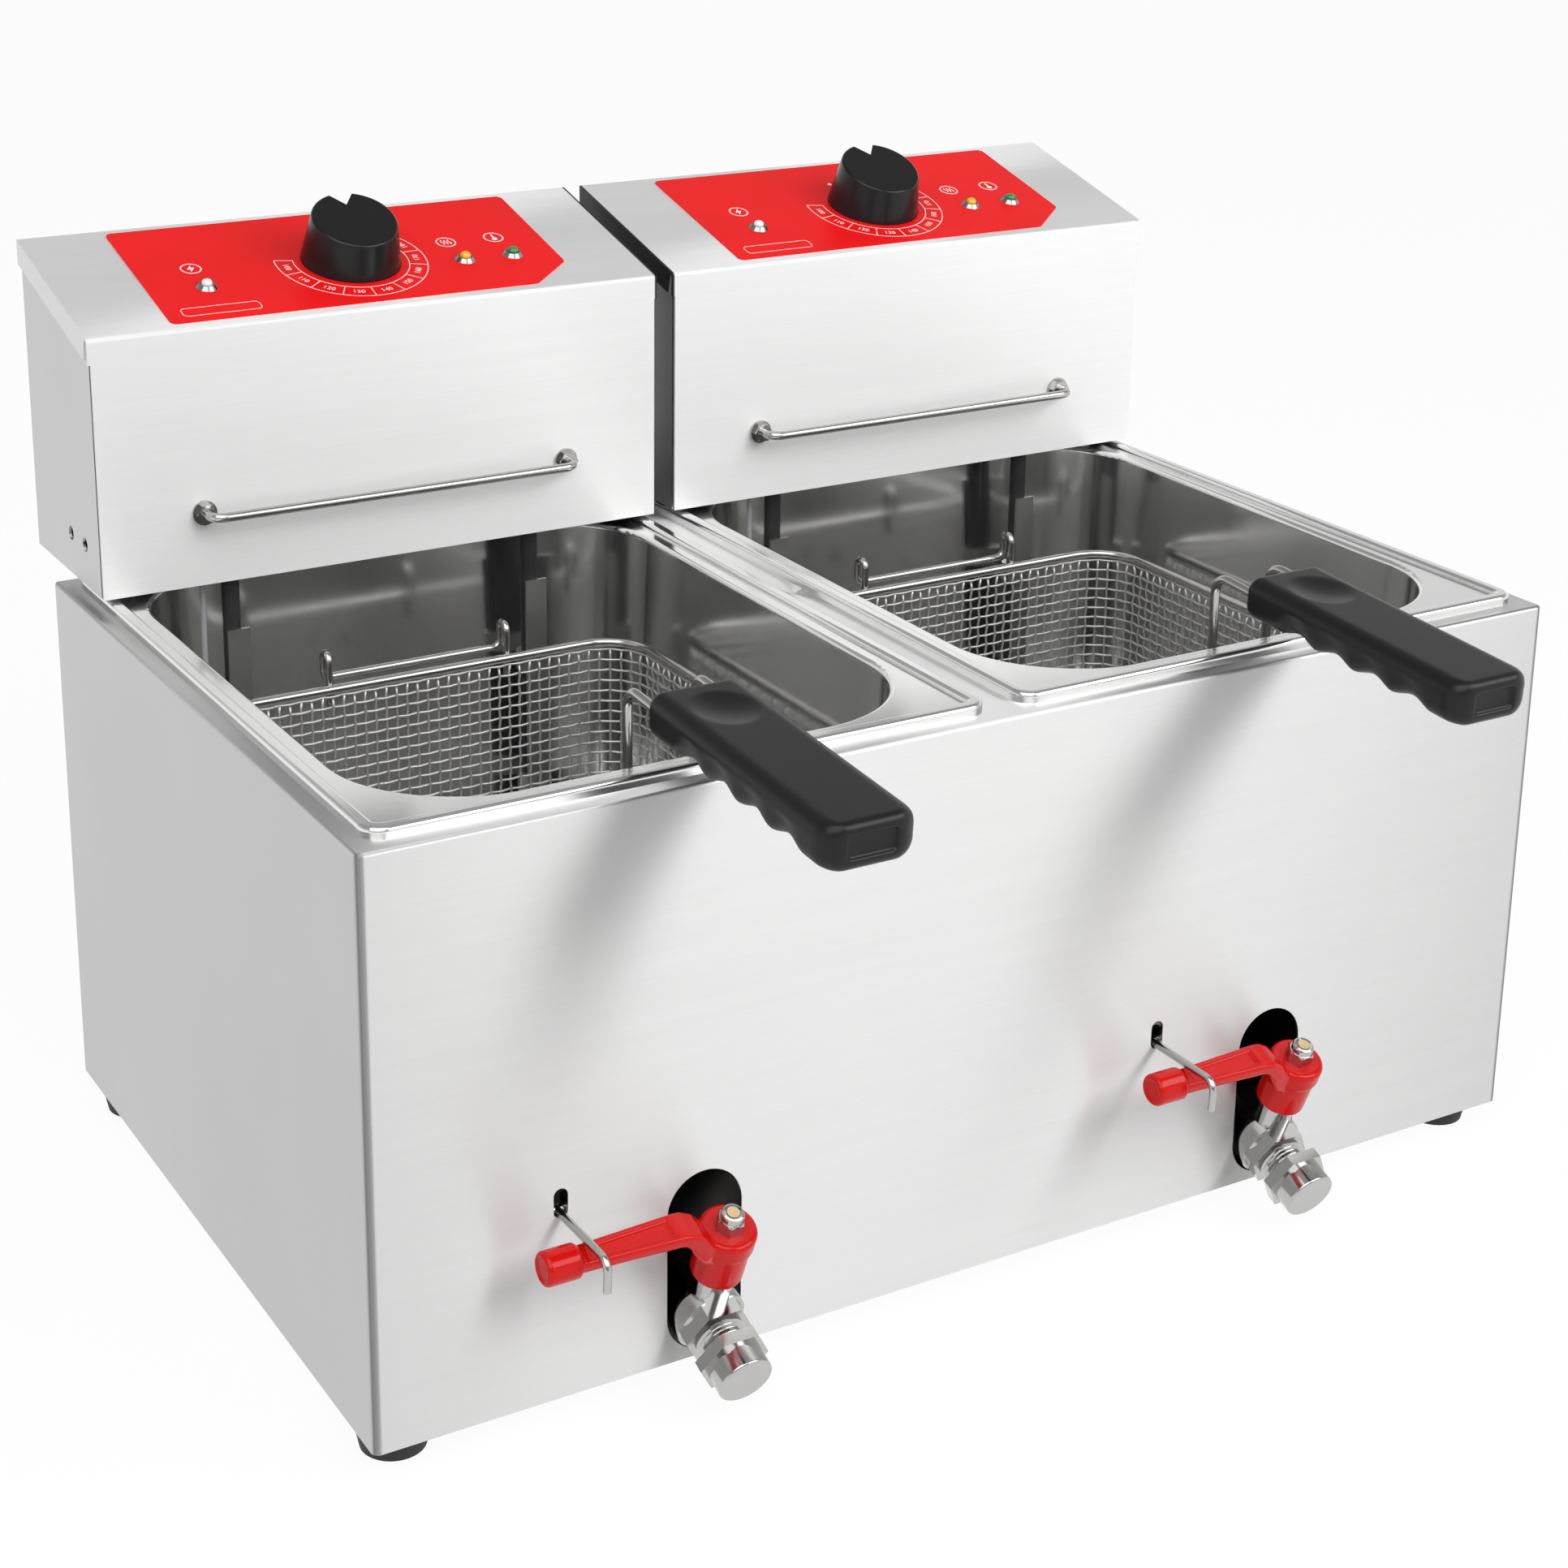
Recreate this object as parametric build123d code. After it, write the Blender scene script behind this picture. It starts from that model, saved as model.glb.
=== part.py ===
from build123d import *
from math import cos, radians, sin, tan
import os

# Twin-tank countertop deep fryer. Lengths in millimetres, angles in degrees.
# x runs across the front, y from the front panel towards the back, z up from the floor.

# General
sheet = 1.2
seat_gap = 0.2
running_gap = 0.06
loose_gap = 0.4

# Tanks
rim_width = 265
rim_depth = 325
rim_corner = 9
rim_height = 4.5
bead_width = 6.5
bead_edge = 2
shelf_drop = 2
mouth_margin = 14
mouth_corner = 54
mouth_edge = 2.2
tank_depth = 190
tank_draft = 2.4
tank_wall = 1.2
tank_floor_fillet = 16
drain_hole_radius = 8
drain_setback = 60

# Cabinet
tank_gap = 15
rim_side_margin = 7.5
rim_front_margin = 8
under_tank = 51
cabinet_bend = 3
mouth_clearance = 1
foot_height = 12
foot_radius = 15.5
foot_waist = 13
foot_inset_x = 17
foot_inset_y = 22

# Control heads
head_gap = 8.5
head_overlap = 53
head_depth = 93
head_front_height = 115
head_slope = 15.3
head_bend = 2
head_seam = 1.6
lid_flange = 11
lid_flange_setback = 7
head_side_hole_radius = 3.3
head_side_hole_pitch = 19.5
head_side_hole_inset = 20
head_side_hole_height = 19
pad_radius = 4
pad_height = 1.5
pad_setback = 17
pin_radius = 4
pin_length = 13
pin_spacing = 120
rail_sheet = 2
rail_drop = 55
rail_reach = 31
rail_end_inset = 40

# Control film, knob and lamps, measured along the sloping top
film_thickness = 0.5
film_left = 39
film_right = 235
film_front = 5
film_back = 94
film_clip_x = 22
film_clip_y = 18
film_corner = 3
knob_place = 1.9
knob_up_slope = 44.9
knob_radius = 22.9
knob_taper = 4.1
knob_high = 25.1
knob_low = 17.1
knob_edge = 1.5
notch_depth = 10.2
notch_angle = 73
shaft_radius = 3
shaft_in_knob = 15
shaft_in_thermostat = 14
lamp_up_slope = 34.5
lamp_places = (65.5, 189.7, 213.8)
lamp_radius = 2.6
bezel_radius = 4.8
bezel_rise = 1.8
bezel_shank_radius = 3.5
bezel_shank_length = 9
thermostat_size = (44, 38, 26)
capillary_radius = 1.2
capillary_bend = 8
capillary_seat = 2
bulb_radius = 3
bulb_length = 105
bulb_offset = -13
terminal_size = (58, 20, 22)
terminal_place = (15, 30)
gland_place = (-90, 28)
gland_hex = 22
gland_thread_radius = 8
gland_bore_radius = 4.5
gland_hex_length = 6
gland_dome_length = 13

# Hanger bar
bar_radius = 2.1
bar_span = 175.5
bar_standoff = 12
bar_height = 33
bar_bend = 6
nut_across = 8
nut_thickness = 3
washer_radius = 5.5
washer_thickness = 1.2

# Heating element and its guard
element_radius = 4
element_above_floor = 22.5
element_leg_spacing = 147
element_leg_setback = 12
element_front = 66
element_bend = 22
element_in_head = 22
rest_radius = 2.5
rest_front_inset = 14
rest_cross_places = (40, 175)
guard_strip_width = 10.5
guard_strip_thickness = 1.5
guard_strip_top = 25
guard_foot_rise = 15
collar_wall = 2.4
collar_height = 9
collar_drop = 45

# Basket
basket_side_room = 13.5
basket_front_room = 16
basket_height = 112.5
basket_corner = 24
basket_floor_fillet = 12
basket_wall = 1.6
basket_gaps_across = 9
basket_gaps_up = 4
basket_bar = 4
frame_radius = 2
hook_wire_radius = 1.6
hook_spacing = 86.5
hook_throat = 7
hook_bend_share = 0.49
hook_rise = 15
hook_bar_rise = 2.5
hook_tail = 9
lift_gap = 4.5

# Basket handle
handle_over_rim = 23.4
handle_drop = 3.7
handle_wire_spacing = 29
handle_wire_bend = 7
grip_length = 124
grip_width = 39
grip_height = 18
grip_gap = 24
grip_edge = 5
grip_top_edge = 4
grip_scallops = 4
scallop_pitch = 22
scallop_depth = 2.5
scallop_start = 20
wire_in_grip = 40
thumb_radius = 34
thumb_depth = 2
thumb_setback = 26
end_recess = 1.5
end_recess_border = 3.5

# Drain tap, tilted forwards and down
tap_tilt = 22
tap_height = 31.5
slot_width = 33
slot_height = 77.5
valve_radius = 14.5
valve_back = 24
valve_collar = 6
valve_hex = 25
valve_hex_length = 7
thread_radius = 10.4
thread_depth = 0.8
thread_pitch = 1.8
thread_count = 8
bore_radius = 7.5
ball_radius = 11.5
neck_radius = 8
neck_top = 24
stem_radius = 4
stud_radius = 2.6
stud_top = 58.5
pipe_radius = 10.5
pipe_wall = 2.5
pipe_bend = 12
cap_start = 8
cap_hex = 26
cap_hex_length = 5
cap_round_radius = 11.5
cap_round_length = 9.5
cap_end_wall = 4.7
cap_edge = 1

# Drain lever
boss_radius = 11.5
boss_bottom = 24.6
boss_top = 50
boss_edge = 1.5
skirt_inner = 9.3
skirt_depth = 19.5
arm_bottom = 54.5
arm_top = 60
arm_start = 19
arm_wide = 7
arm_narrow = 5
web_half_width = 5.5
web_foot = 38
web_start = 9.5
web_run = 7
web_lead_low = 2
web_lead_high = 1
grip_start = 66.5
lever_reach = 81
lever_grip_radius = 6.8
lever_grip_edge = 2
stop_notch = (8, 7, 4)
stem_nut = 10
stem_nut_height = 5.5

# Lock hook
lock_radius = 1.6
lock_along_lever = 62
lock_over_arm = 0.7
lock_reach = 38
lock_leg = 13
lock_tip_back = 1
lock_bend = 5
lock_lift = 60
lock_slot_width = 6
lock_pin_length = 12
lug_thickness = 2.5
lug_height = 9

# Places that follow from the sizes above
tank_pitch = rim_width + tank_gap
cabinet_width = tank_pitch + rim_width + 2 * rim_side_margin
cabinet_depth = rim_depth + 2 * rim_front_margin
cabinet_height = tank_depth + under_tank
cabinet_top = foot_height + cabinet_height
rim_top = cabinet_top + rim_height
shelf_top = rim_top - shelf_drop
tank_floor = rim_top - tank_depth
tank_middle_y = cabinet_depth / 2
mouth_width = rim_width - 2 * mouth_margin
mouth_depth = rim_depth - 2 * mouth_margin
mouth_front = tank_middle_y - mouth_depth / 2
mouth_back = tank_middle_y + mouth_depth / 2

head_width = tank_pitch - head_gap
head_front = cabinet_depth - head_overlap
head_back = head_front + head_depth
head_bottom = rim_top + pad_height
head_front_top = head_bottom + head_front_height
head_back_top = head_front_top + head_depth * tan(radians(head_slope))
shell_width = head_width - 2 * sheet - seat_gap
shell_front = head_front + sheet + head_seam
bar_z = head_bottom + bar_height
bar_y = head_front - bar_standoff

element_z = tank_floor + element_above_floor
leg_y = mouth_back - element_leg_setback - element_radius - tank_depth * tan(radians(tank_draft)) / 2
leg_x = element_leg_spacing / 2
rest_z = element_z + element_radius + seat_gap + rest_radius
strip_front = leg_y - element_radius - seat_gap - guard_strip_thickness
rest_offset = element_radius + seat_gap + rest_radius

hook_back_y = bar_y - bar_radius - lift_gap - hook_wire_radius
hook_front_y = hook_back_y - hook_throat
basket_back = hook_front_y - hook_wire_radius - seat_gap
basket_front = mouth_front + basket_front_room
basket_width = mouth_width - 2 * basket_side_room
basket_depth = basket_back - basket_front
basket_middle_y = (basket_back + basket_front) / 2
basket_floor = rest_z + rest_radius + seat_gap
basket_rim = basket_floor + basket_height

handle_wire_y = basket_front - frame_radius - seat_gap
handle_z = rim_top + handle_over_rim
grip_back_y = handle_wire_y - grip_gap
grip_back_z = handle_z - grip_gap * tan(radians(handle_drop))
grip_front_y = (grip_back_y - grip_length * cos(radians(handle_drop))
                - grip_height / 2 * sin(radians(handle_drop)))

slot_bottom = tap_height - slot_width / 2
hex_start = valve_collar
thread_start = hex_start + valve_hex_length
thread_end = thread_start + thread_pitch * thread_count
cap_open = thread_start + cap_start
cap_end = cap_open + cap_hex_length + cap_round_length

lock_y = sheet + seat_gap + lock_radius + lock_radius / 2
lock_z = (tap_height + arm_top * cos(radians(tap_tilt)) + arm_narrow * sin(radians(tap_tilt))
          + lock_radius + lock_over_arm)
lock_slot_top = (lock_z + lock_y * tan(radians(lock_lift)) + lock_radius / cos(radians(lock_lift))
                 + 2 * loose_gap)
lock_slot_bottom = lock_z - lock_radius - loose_gap

gland_end = head_back + sheet + gland_hex_length + gland_dome_length
y_middle = (grip_front_y + gland_end) / 2
sides = {"left": -tank_pitch / 2, "right": tank_pitch / 2}


# Helpers

def block(low, high):
    size = [b - a for a, b in zip(low, high)]
    return Pos(*low) * Box(*size, align=(Align.MIN, Align.MIN, Align.MIN))


def upright(radius, x, y, low, high):
    return Pos(x, y, low) * Cylinder(radius, high - low, align=(Align.CENTER, Align.CENTER, Align.MIN))


def along_y(radius, start, end):
    """Cylinder on the y axis from start to end."""
    return Pos(0, start, 0) * Rot(-90, 0, 0) * Cylinder(
        radius, end - start, align=(Align.CENTER, Align.CENTER, Align.MIN))


def hex_along_y(across, start, end):
    """Hexagonal bar on the y axis, given across its flats."""
    outline = Plane.XZ * RegularPolygon(across / 2, 6, major_radius=False)
    return Pos(0, end, 0) * extrude(outline, end - start)


def side_prism(points, width):
    """Outline in y and z, stretched to a width about x = 0."""
    outline = make_face(Polyline(*points, close=True))
    return Pos(-width / 2, 0, 0) * (Plane.YZ * extrude(outline, width))


def wire(points, radius, bend):
    path = FilletPolyline(*points, radius=bend)
    section = Plane(origin=path @ 0, z_dir=path % 0) * Circle(radius)
    return sweep(section, path=path)


def tilted(origin, tilt):
    """Plane whose up axis leans forwards by the tilt, with y towards the back."""
    return Plane(origin=origin, x_dir=(1, 0, 0), z_dir=(0, -sin(radians(tilt)), cos(radians(tilt))))


def slope_plane():
    """The sloping top of a head, from the middle of its front edge, z pointing out."""
    angle = radians(head_slope)
    return Plane(origin=(0, head_front, head_front_top), x_dir=(1, 0, 0), z_dir=(0, -sin(angle), cos(angle)))


def on_slope(shape):
    return slope_plane().location * shape


def on_tap(shape):
    return tilted((0, 0, tap_height), tap_tilt).location * shape


def slope_z(y):
    return head_front_top + (y - head_front) * tan(radians(head_slope))


def save(shape, name, offset=0):
    shape.label = name
    export_step(Pos(offset, -y_middle, 0) * shape, "parts/" + name + ".step")


# Cabinet

def mouth_sketch(grow):
    return RectangleRounded(mouth_width + 2 * grow, mouth_depth + 2 * grow, mouth_corner + grow)


def make_cabinet_shell():
    low = foot_height
    outer = block((-cabinet_width / 2, 0, low), (cabinet_width / 2, cabinet_depth, cabinet_top))
    outer = fillet(outer.edges().filter_by(Axis.Z).group_by(Axis.Y)[0], cabinet_bend)
    outer = fillet(outer.faces().sort_by(Axis.Z)[-1].edges().filter_by(Axis.X).sort_by(Axis.Y)[0],
                   cabinet_bend / 2)
    hollow = block((-cabinet_width / 2 + sheet, sheet, low - 1),
                   (cabinet_width / 2 - sheet, cabinet_depth + 1, cabinet_top - sheet))
    hollow = fillet(hollow.edges().filter_by(Axis.Z).group_by(Axis.Y)[0], cabinet_bend - sheet)
    shell = outer - hollow
    for x in sides.values():
        mouth = Pos(x, tank_middle_y, cabinet_top - 2 * sheet) * extrude(
            mouth_sketch(tank_wall + mouth_clearance), 4 * sheet)
        slot = Pos(x, 2 * sheet, slot_bottom + slot_height / 2) * extrude(
            Plane.XZ * SlotOverall(slot_height, slot_width, rotation=90), 4 * sheet)
        lock_height = lock_slot_top - lock_slot_bottom
        lock_slot = Pos(x - lock_along_lever, 2 * sheet, lock_slot_bottom + lock_height / 2) * extrude(
            Plane.XZ * SlotOverall(lock_height, lock_slot_width, rotation=90), 4 * sheet)
        shell -= mouth
        shell -= slot
        shell -= lock_slot
    return shell


def make_cabinet_back():
    low = (-cabinet_width / 2 + sheet + seat_gap, cabinet_depth - sheet, foot_height + sheet + seat_gap)
    high = (cabinet_width / 2 - sheet - seat_gap, cabinet_depth, cabinet_top - sheet - seat_gap)
    return block(low, high)


def make_cabinet_floor():
    low = (-cabinet_width / 2 + sheet + seat_gap, sheet + seat_gap, foot_height)
    high = (cabinet_width / 2 - sheet - seat_gap, cabinet_depth, foot_height + sheet)
    plate = block(low, high)
    return fillet(plate.edges().filter_by(Axis.Z).group_by(Axis.Y)[0], cabinet_bend)


def make_feet():
    feet = []
    for x in (-cabinet_width / 2 + foot_inset_x, cabinet_width / 2 - foot_inset_x):
        for y in (foot_inset_y, cabinet_depth - foot_inset_y):
            foot = Pos(x, y, 0) * Cone(foot_waist, foot_radius, foot_height,
                                       align=(Align.CENTER, Align.CENTER, Align.MIN))
            feet.append(foot)
    return Compound(children=feet)


def make_head_rail():
    end = cabinet_width / 2 - rail_end_inset
    upright_leg = block((-end, cabinet_depth, head_bottom - rail_drop),
                        (end, cabinet_depth + rail_sheet, head_bottom))
    flange = block((-end, cabinet_depth, head_bottom - rail_sheet),
                   (end, cabinet_depth + rail_reach, head_bottom))
    rail = upright_leg + flange
    for x in sides.values():
        for step in (-pin_spacing / 2, pin_spacing / 2):
            rail += upright(pin_radius, x + step, pin_y(), head_bottom - rail_sheet, head_bottom + pin_length)
    return rail


def pin_y():
    return cabinet_depth + rail_reach / 2 + rail_sheet / 2


def make_hook_clips():
    lugs = []
    for x in sides.values():
        for step in (-1, 1):
            middle = x - lock_along_lever + step * (lock_pin_length / 2 - lug_thickness / 2)
            lug = block((middle - lug_thickness / 2, sheet, lock_z - lug_height / 2),
                        (middle + lug_thickness / 2, 2 * lock_y, lock_z + lug_height / 2))
            bore = Pos(middle - lug_thickness, lock_y, lock_z) * Rot(0, 90, 0) * Cylinder(
                lock_radius + running_gap, 2 * lug_thickness, align=(Align.CENTER, Align.CENTER, Align.MIN))
            lugs.append(lug - bore)
    return Compound(children=lugs)


# Tank and drain

def make_pocket(grow, top, bottom):
    """Tapering pocket with a rounded floor, larger than the tank's inside by grow."""
    outline = Plane(origin=(0, tank_middle_y, top), x_dir=(1, 0, 0), z_dir=(0, 0, -1)) * mouth_sketch(grow)
    pocket = extrude(outline, top - bottom, taper=tank_draft)
    return fillet(pocket.faces().sort_by(Axis.Z)[0].edges(), tank_floor_fillet + grow)


def make_tank():
    outer = make_pocket(tank_wall, shelf_top, tank_floor - tank_wall)
    plate_bottom = cabinet_top
    plate = Pos(0, tank_middle_y, plate_bottom) * extrude(
        RectangleRounded(rim_width, rim_depth, rim_corner), shelf_top - plate_bottom)
    bead = Pos(0, tank_middle_y, cabinet_top) * extrude(
        RectangleRounded(rim_width, rim_depth, rim_corner)
        - RectangleRounded(rim_width - 2 * bead_width, rim_depth - 2 * bead_width, rim_corner - bead_width),
        rim_height)
    bead = fillet(bead.faces().sort_by(Axis.Z)[-1].edges(), bead_edge)
    tank = outer + plate + bead
    tank -= make_pocket(0, shelf_top, tank_floor)
    level = tank.faces().filter_by(Axis.Z)
    shelf = level.sort_by(lambda face: abs(face.center().Z - shelf_top))[0]
    tank = fillet(shelf.inner_wires()[0].edges(), mouth_edge)
    tank -= upright(drain_hole_radius, 0, drain_setback, tank_floor - 2 * tank_wall, tank_floor + 1)
    return tank


def make_drain_pipe():
    slope = radians(tap_tilt)
    start = (0, valve_back * cos(slope), tap_height + valve_back * sin(slope))
    corner = (0, drain_setback, tap_height + drain_setback * tan(slope))
    end = (0, drain_setback, tank_floor - tank_wall)
    points = (start, corner, end)
    return wire(points, pipe_radius, pipe_bend) - wire(points, pipe_radius - pipe_wall, pipe_bend)


def make_valve_body():
    body = Sphere(valve_radius)
    body += along_y(valve_radius, -valve_collar, 0)
    body += hex_along_y(valve_hex, 0, valve_back)
    body += hex_along_y(valve_hex, -thread_start, -hex_start)
    profile = [(0, -hex_start)]
    root = thread_radius - thread_depth
    profile.append((root, -hex_start))
    for turn in range(thread_count):
        start = thread_start + turn * thread_pitch
        profile.append((root, -start))
        profile.append((thread_radius, -start - thread_pitch / 2))
    profile.append((root, -thread_end))
    profile.append((0, -thread_end))
    body += revolve(make_face(Polyline(*profile, close=True)), Axis.Y)
    body += upright(neck_radius, 0, 0, 0, neck_top)
    body -= along_y(bore_radius, -thread_end - 1, valve_back + 1)
    body -= Sphere(ball_radius + running_gap)
    body -= upright(stem_radius + running_gap, 0, 0, 0, neck_top + 1)
    return on_tap(body)


def make_valve_ball():
    ball = Sphere(ball_radius)
    ball -= Rot(0, 90, 0) * Cylinder(bore_radius, 4 * ball_radius)
    shoulder = boss_bottom + skirt_depth - seat_gap
    ball += upright(stem_radius, 0, 0, (ball_radius + bore_radius) / 2, shoulder)
    ball += upright(stud_radius, 0, 0, shoulder, stud_top)
    return on_tap(ball)


def make_drain_cap():
    end = -cap_end
    cap = hex_along_y(cap_hex, -cap_open - cap_hex_length, -cap_open)
    cap += along_y(cap_round_radius, end, -cap_open)
    face = cap.faces().sort_by(Axis.Y)[0]
    cap = fillet(face.edges(), cap_edge)
    cap -= along_y(thread_radius + loose_gap, end + cap_end_wall, 0)
    return on_tap(cap)


# Lever and lock hook

def make_lever():
    boss = upright(boss_radius, 0, 0, boss_bottom, boss_top)
    boss = fillet(boss.edges().group_by(Axis.Z)[-1], boss_edge)
    web_points = [(-boss_radius / 2, web_foot), (-boss_radius / 2, boss_top), (-web_start, boss_top),
                  (-arm_start + web_lead_high, arm_top), (-arm_start - web_run, arm_top),
                  (-arm_start - web_run, arm_bottom), (-arm_start - web_lead_low, arm_bottom),
                  (-boss_radius, web_foot)]
    web = extrude(Plane.XZ * make_face(Polyline(*web_points, close=True)), web_half_width, both=True)
    arm_points = [(-arm_start, -arm_wide), (-arm_start, arm_wide), (-grip_start - 1, arm_narrow),
                  (-grip_start - 1, -arm_narrow)]
    arm = Pos(0, 0, arm_bottom) * extrude(make_face(Polyline(*arm_points, close=True)), arm_top - arm_bottom)
    grip = Pos(-grip_start, 0, (arm_bottom + arm_top) / 2) * Rot(0, -90, 0) * Cylinder(
        lever_grip_radius, lever_reach - grip_start, align=(Align.CENTER, Align.CENTER, Align.MIN))
    grip = fillet(grip.edges(), lever_grip_edge)
    lever = boss + web + arm + grip
    lever -= upright(skirt_inner, 0, 0, boss_bottom - 1, boss_bottom + skirt_depth)
    lever -= upright(stud_radius + running_gap, 0, 0, 0, 2 * boss_top)
    across, deep, tall = stop_notch
    lever -= block((boss_radius / 4, -2 * boss_radius, boss_bottom - 1),
                   (boss_radius / 4 + across, -boss_radius + deep, boss_bottom + tall))
    return on_tap(lever)


def make_stem_nut():
    nut = Pos(0, 0, boss_top) * extrude(RegularPolygon(stem_nut / 2, 6, major_radius=False), stem_nut_height)
    return on_tap(nut - upright(stud_radius + running_gap, 0, 0, 0, 2 * boss_top))


def make_lock_hook():
    x = -lock_along_lever
    tip = (x, lock_tip_back - lock_reach, lock_z - lock_leg)
    points = ((x, lock_y, lock_z), (x, -lock_reach, lock_z), tip)
    hook = wire(points, lock_radius, lock_bend)
    pin = Pos(x, lock_y, lock_z) * Rot(0, 90, 0) * Cylinder(lock_radius, lock_pin_length)
    return hook + pin


# Control head

def make_head_shell():
    outer_points = [(shell_front, head_bottom), (head_back, head_bottom),
                    (head_back, slope_z(head_back) - lid_drop()),
                    (shell_front, slope_z(shell_front) - lid_drop())]
    rise = 2 * head_depth
    inner_points = [(shell_front - 1, head_bottom + sheet), (head_back - sheet, head_bottom + sheet),
                    (head_back - sheet, head_back_top + rise), (shell_front - 1, head_back_top + rise)]
    shell = side_prism(outer_points, shell_width) - side_prism(inner_points, shell_width - 2 * sheet)
    low = head_bottom - 1
    high = head_bottom + 2 * sheet
    for step in (-1, 1):
        shell -= upright(element_radius + seat_gap, step * leg_x, leg_y, low, high)
        shell -= upright(pin_radius + loose_gap, step * pin_spacing / 2, pin_y(), low, high)
    shell -= upright(capillary_radius + seat_gap, bulb_x(), leg_y, low, high)
    for step in (0, head_side_hole_pitch):
        y = shell_front + head_side_hole_inset + step
        shell -= Pos(0, y, head_bottom + head_side_hole_height) * Rot(0, 90, 0) * Cylinder(
            head_side_hole_radius, 2 * head_width)
    x, z = gland_place
    shell -= Pos(x, 0, head_bottom + z) * along_y(
        gland_thread_radius + seat_gap, head_back - 3 * sheet, head_back + 1)
    return shell


def lid_drop():
    """Height of the sheet of the sloping top, with the gap under it, measured upright."""
    return (sheet + seat_gap) / cos(radians(head_slope))


def make_head_cover():
    back = head_back + sheet + seat_gap
    fall = sheet / cos(radians(head_slope))
    outer_points = [(head_front, head_bottom), (head_front, head_front_top), (back, slope_z(back)),
                    (back, slope_z(back) - lid_flange), (head_front + sheet, head_front_top - lid_flange),
                    (head_front + sheet, head_bottom)]
    cover = side_prism(outer_points, head_width)
    front_edge = cover.edges().filter_by(Axis.X).sort_by(
        lambda edge: abs(edge.center().Y - head_front) + abs(edge.center().Z - head_front_top))[0]
    cover = fillet(front_edge, head_bend)
    inner_y = head_front + sheet
    inside_points = [(inner_y, head_bottom - 1), (inner_y, slope_z(inner_y) - fall),
                     (back - sheet, slope_z(back - sheet) - fall), (back - sheet, head_bottom - 1)]
    cover -= side_prism(inside_points, head_width - 2 * sheet)
    flange_low = head_front_top - 2 * lid_flange
    cut = side_prism([(inner_y, flange_low), (inner_y, slope_z(inner_y) - fall),
                      (inner_y + lid_flange_setback / 3, slope_z(inner_y) - fall),
                      (inner_y + lid_flange_setback, flange_low)], 2 * head_width)
    cover -= cut
    for step in (-1, 1):
        cover -= Pos(step * (shell_width / 2 + sheet), 0, 0) * side_prism(
            [(head_front - 1, head_bottom - 1), (head_front - 1, head_front_top - lid_flange),
             (inner_y + 1, head_front_top - lid_flange), (inner_y + 1, head_bottom - 1)], 2 * sheet)
    cover -= on_slope(Pos(knob_place, knob_up_slope, 0) * Cylinder(shaft_radius + loose_gap, 6 * sheet))
    for place in lamp_places:
        cover -= on_slope(Pos(place - head_width / 2, lamp_up_slope, 0)
                          * Cylinder(bezel_shank_radius + running_gap, 6 * sheet))
    for step in (-1, 1):
        cover -= Pos(step * bar_span / 2, 0, bar_z) * along_y(
            bar_radius + running_gap, head_front - sheet, head_front + 2 * sheet)
    return cover


def make_control_film():
    left = film_left - head_width / 2
    right = film_right - head_width / 2
    points = [(left, film_front), (right - film_clip_x, film_front), (right, film_front + film_clip_y),
              (right, film_back), (left, film_back)]
    outline = make_face(Polyline(*points, close=True))
    outline = fillet(outline.vertices(), film_corner)
    outline -= Pos(knob_place, knob_up_slope) * Circle(shaft_radius + loose_gap)
    for place in lamp_places:
        outline -= Pos(place - head_width / 2, lamp_up_slope) * Circle(bezel_shank_radius + running_gap)
    return on_slope(extrude(outline, film_thickness))


def make_lamps():
    lenses = []
    for place in lamp_places:
        lens = Pos(0, 0, -bezel_shank_length) * Cylinder(
            lamp_radius, bezel_shank_length + film_thickness + bezel_rise,
            align=(Align.CENTER, Align.CENTER, Align.MIN))
        lens = fillet(lens.edges().group_by(Axis.Z)[-1], lamp_radius / 2)
        lenses.append(on_slope(Pos(place - head_width / 2, lamp_up_slope, 0) * lens))
    return Compound(children=lenses)


def make_lamp_bezels():
    bezels = []
    for place in lamp_places:
        flange = Pos(0, 0, film_thickness) * Cone(bezel_radius, bezel_shank_radius, bezel_rise,
                                                  align=(Align.CENTER, Align.CENTER, Align.MIN))
        shank = upright(bezel_shank_radius, 0, 0, -bezel_shank_length, film_thickness)
        bore = upright(lamp_radius + running_gap, 0, 0, -2 * bezel_shank_length, 2 * bezel_rise)
        bezel = flange + shank - bore
        bezels.append(on_slope(Pos(place - head_width / 2, lamp_up_slope, 0) * bezel))
    return Compound(children=bezels)


def make_knob():
    bottom = film_thickness + seat_gap
    top_radius = knob_radius - knob_taper
    body = Pos(0, 0, bottom) * Cone(knob_radius, top_radius, knob_high,
                                    align=(Align.CENTER, Align.CENTER, Align.MIN))
    lean = (knob_high - knob_low) / (2 * top_radius)
    far = 2 * knob_radius
    slant = side_prism([(-far, bottom + knob_low + (top_radius - far) * lean),
                        (far, bottom + knob_low + (top_radius + far) * lean),
                        (far, far * 2), (-far, far * 2)], 2 * far)
    body -= slant
    face = body.faces().sort_by(Axis.Z)[-1]
    body = fillet(face.edges(), knob_edge)
    half = notch_depth * tan(radians(notch_angle / 2))
    reach = top_radius + 1
    notch = make_face(Polyline((0, reach - notch_depth), (-half, reach), (-half, 2 * reach),
                               (half, 2 * reach), (half, reach), close=True))
    body -= Pos(0, 0, bottom + knob_low) * extrude(notch, knob_high)
    body -= upright(shaft_radius + running_gap, 0, 0, 0, bottom + shaft_in_knob)
    return on_slope(Pos(knob_place, knob_up_slope, 0) * body)


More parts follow.
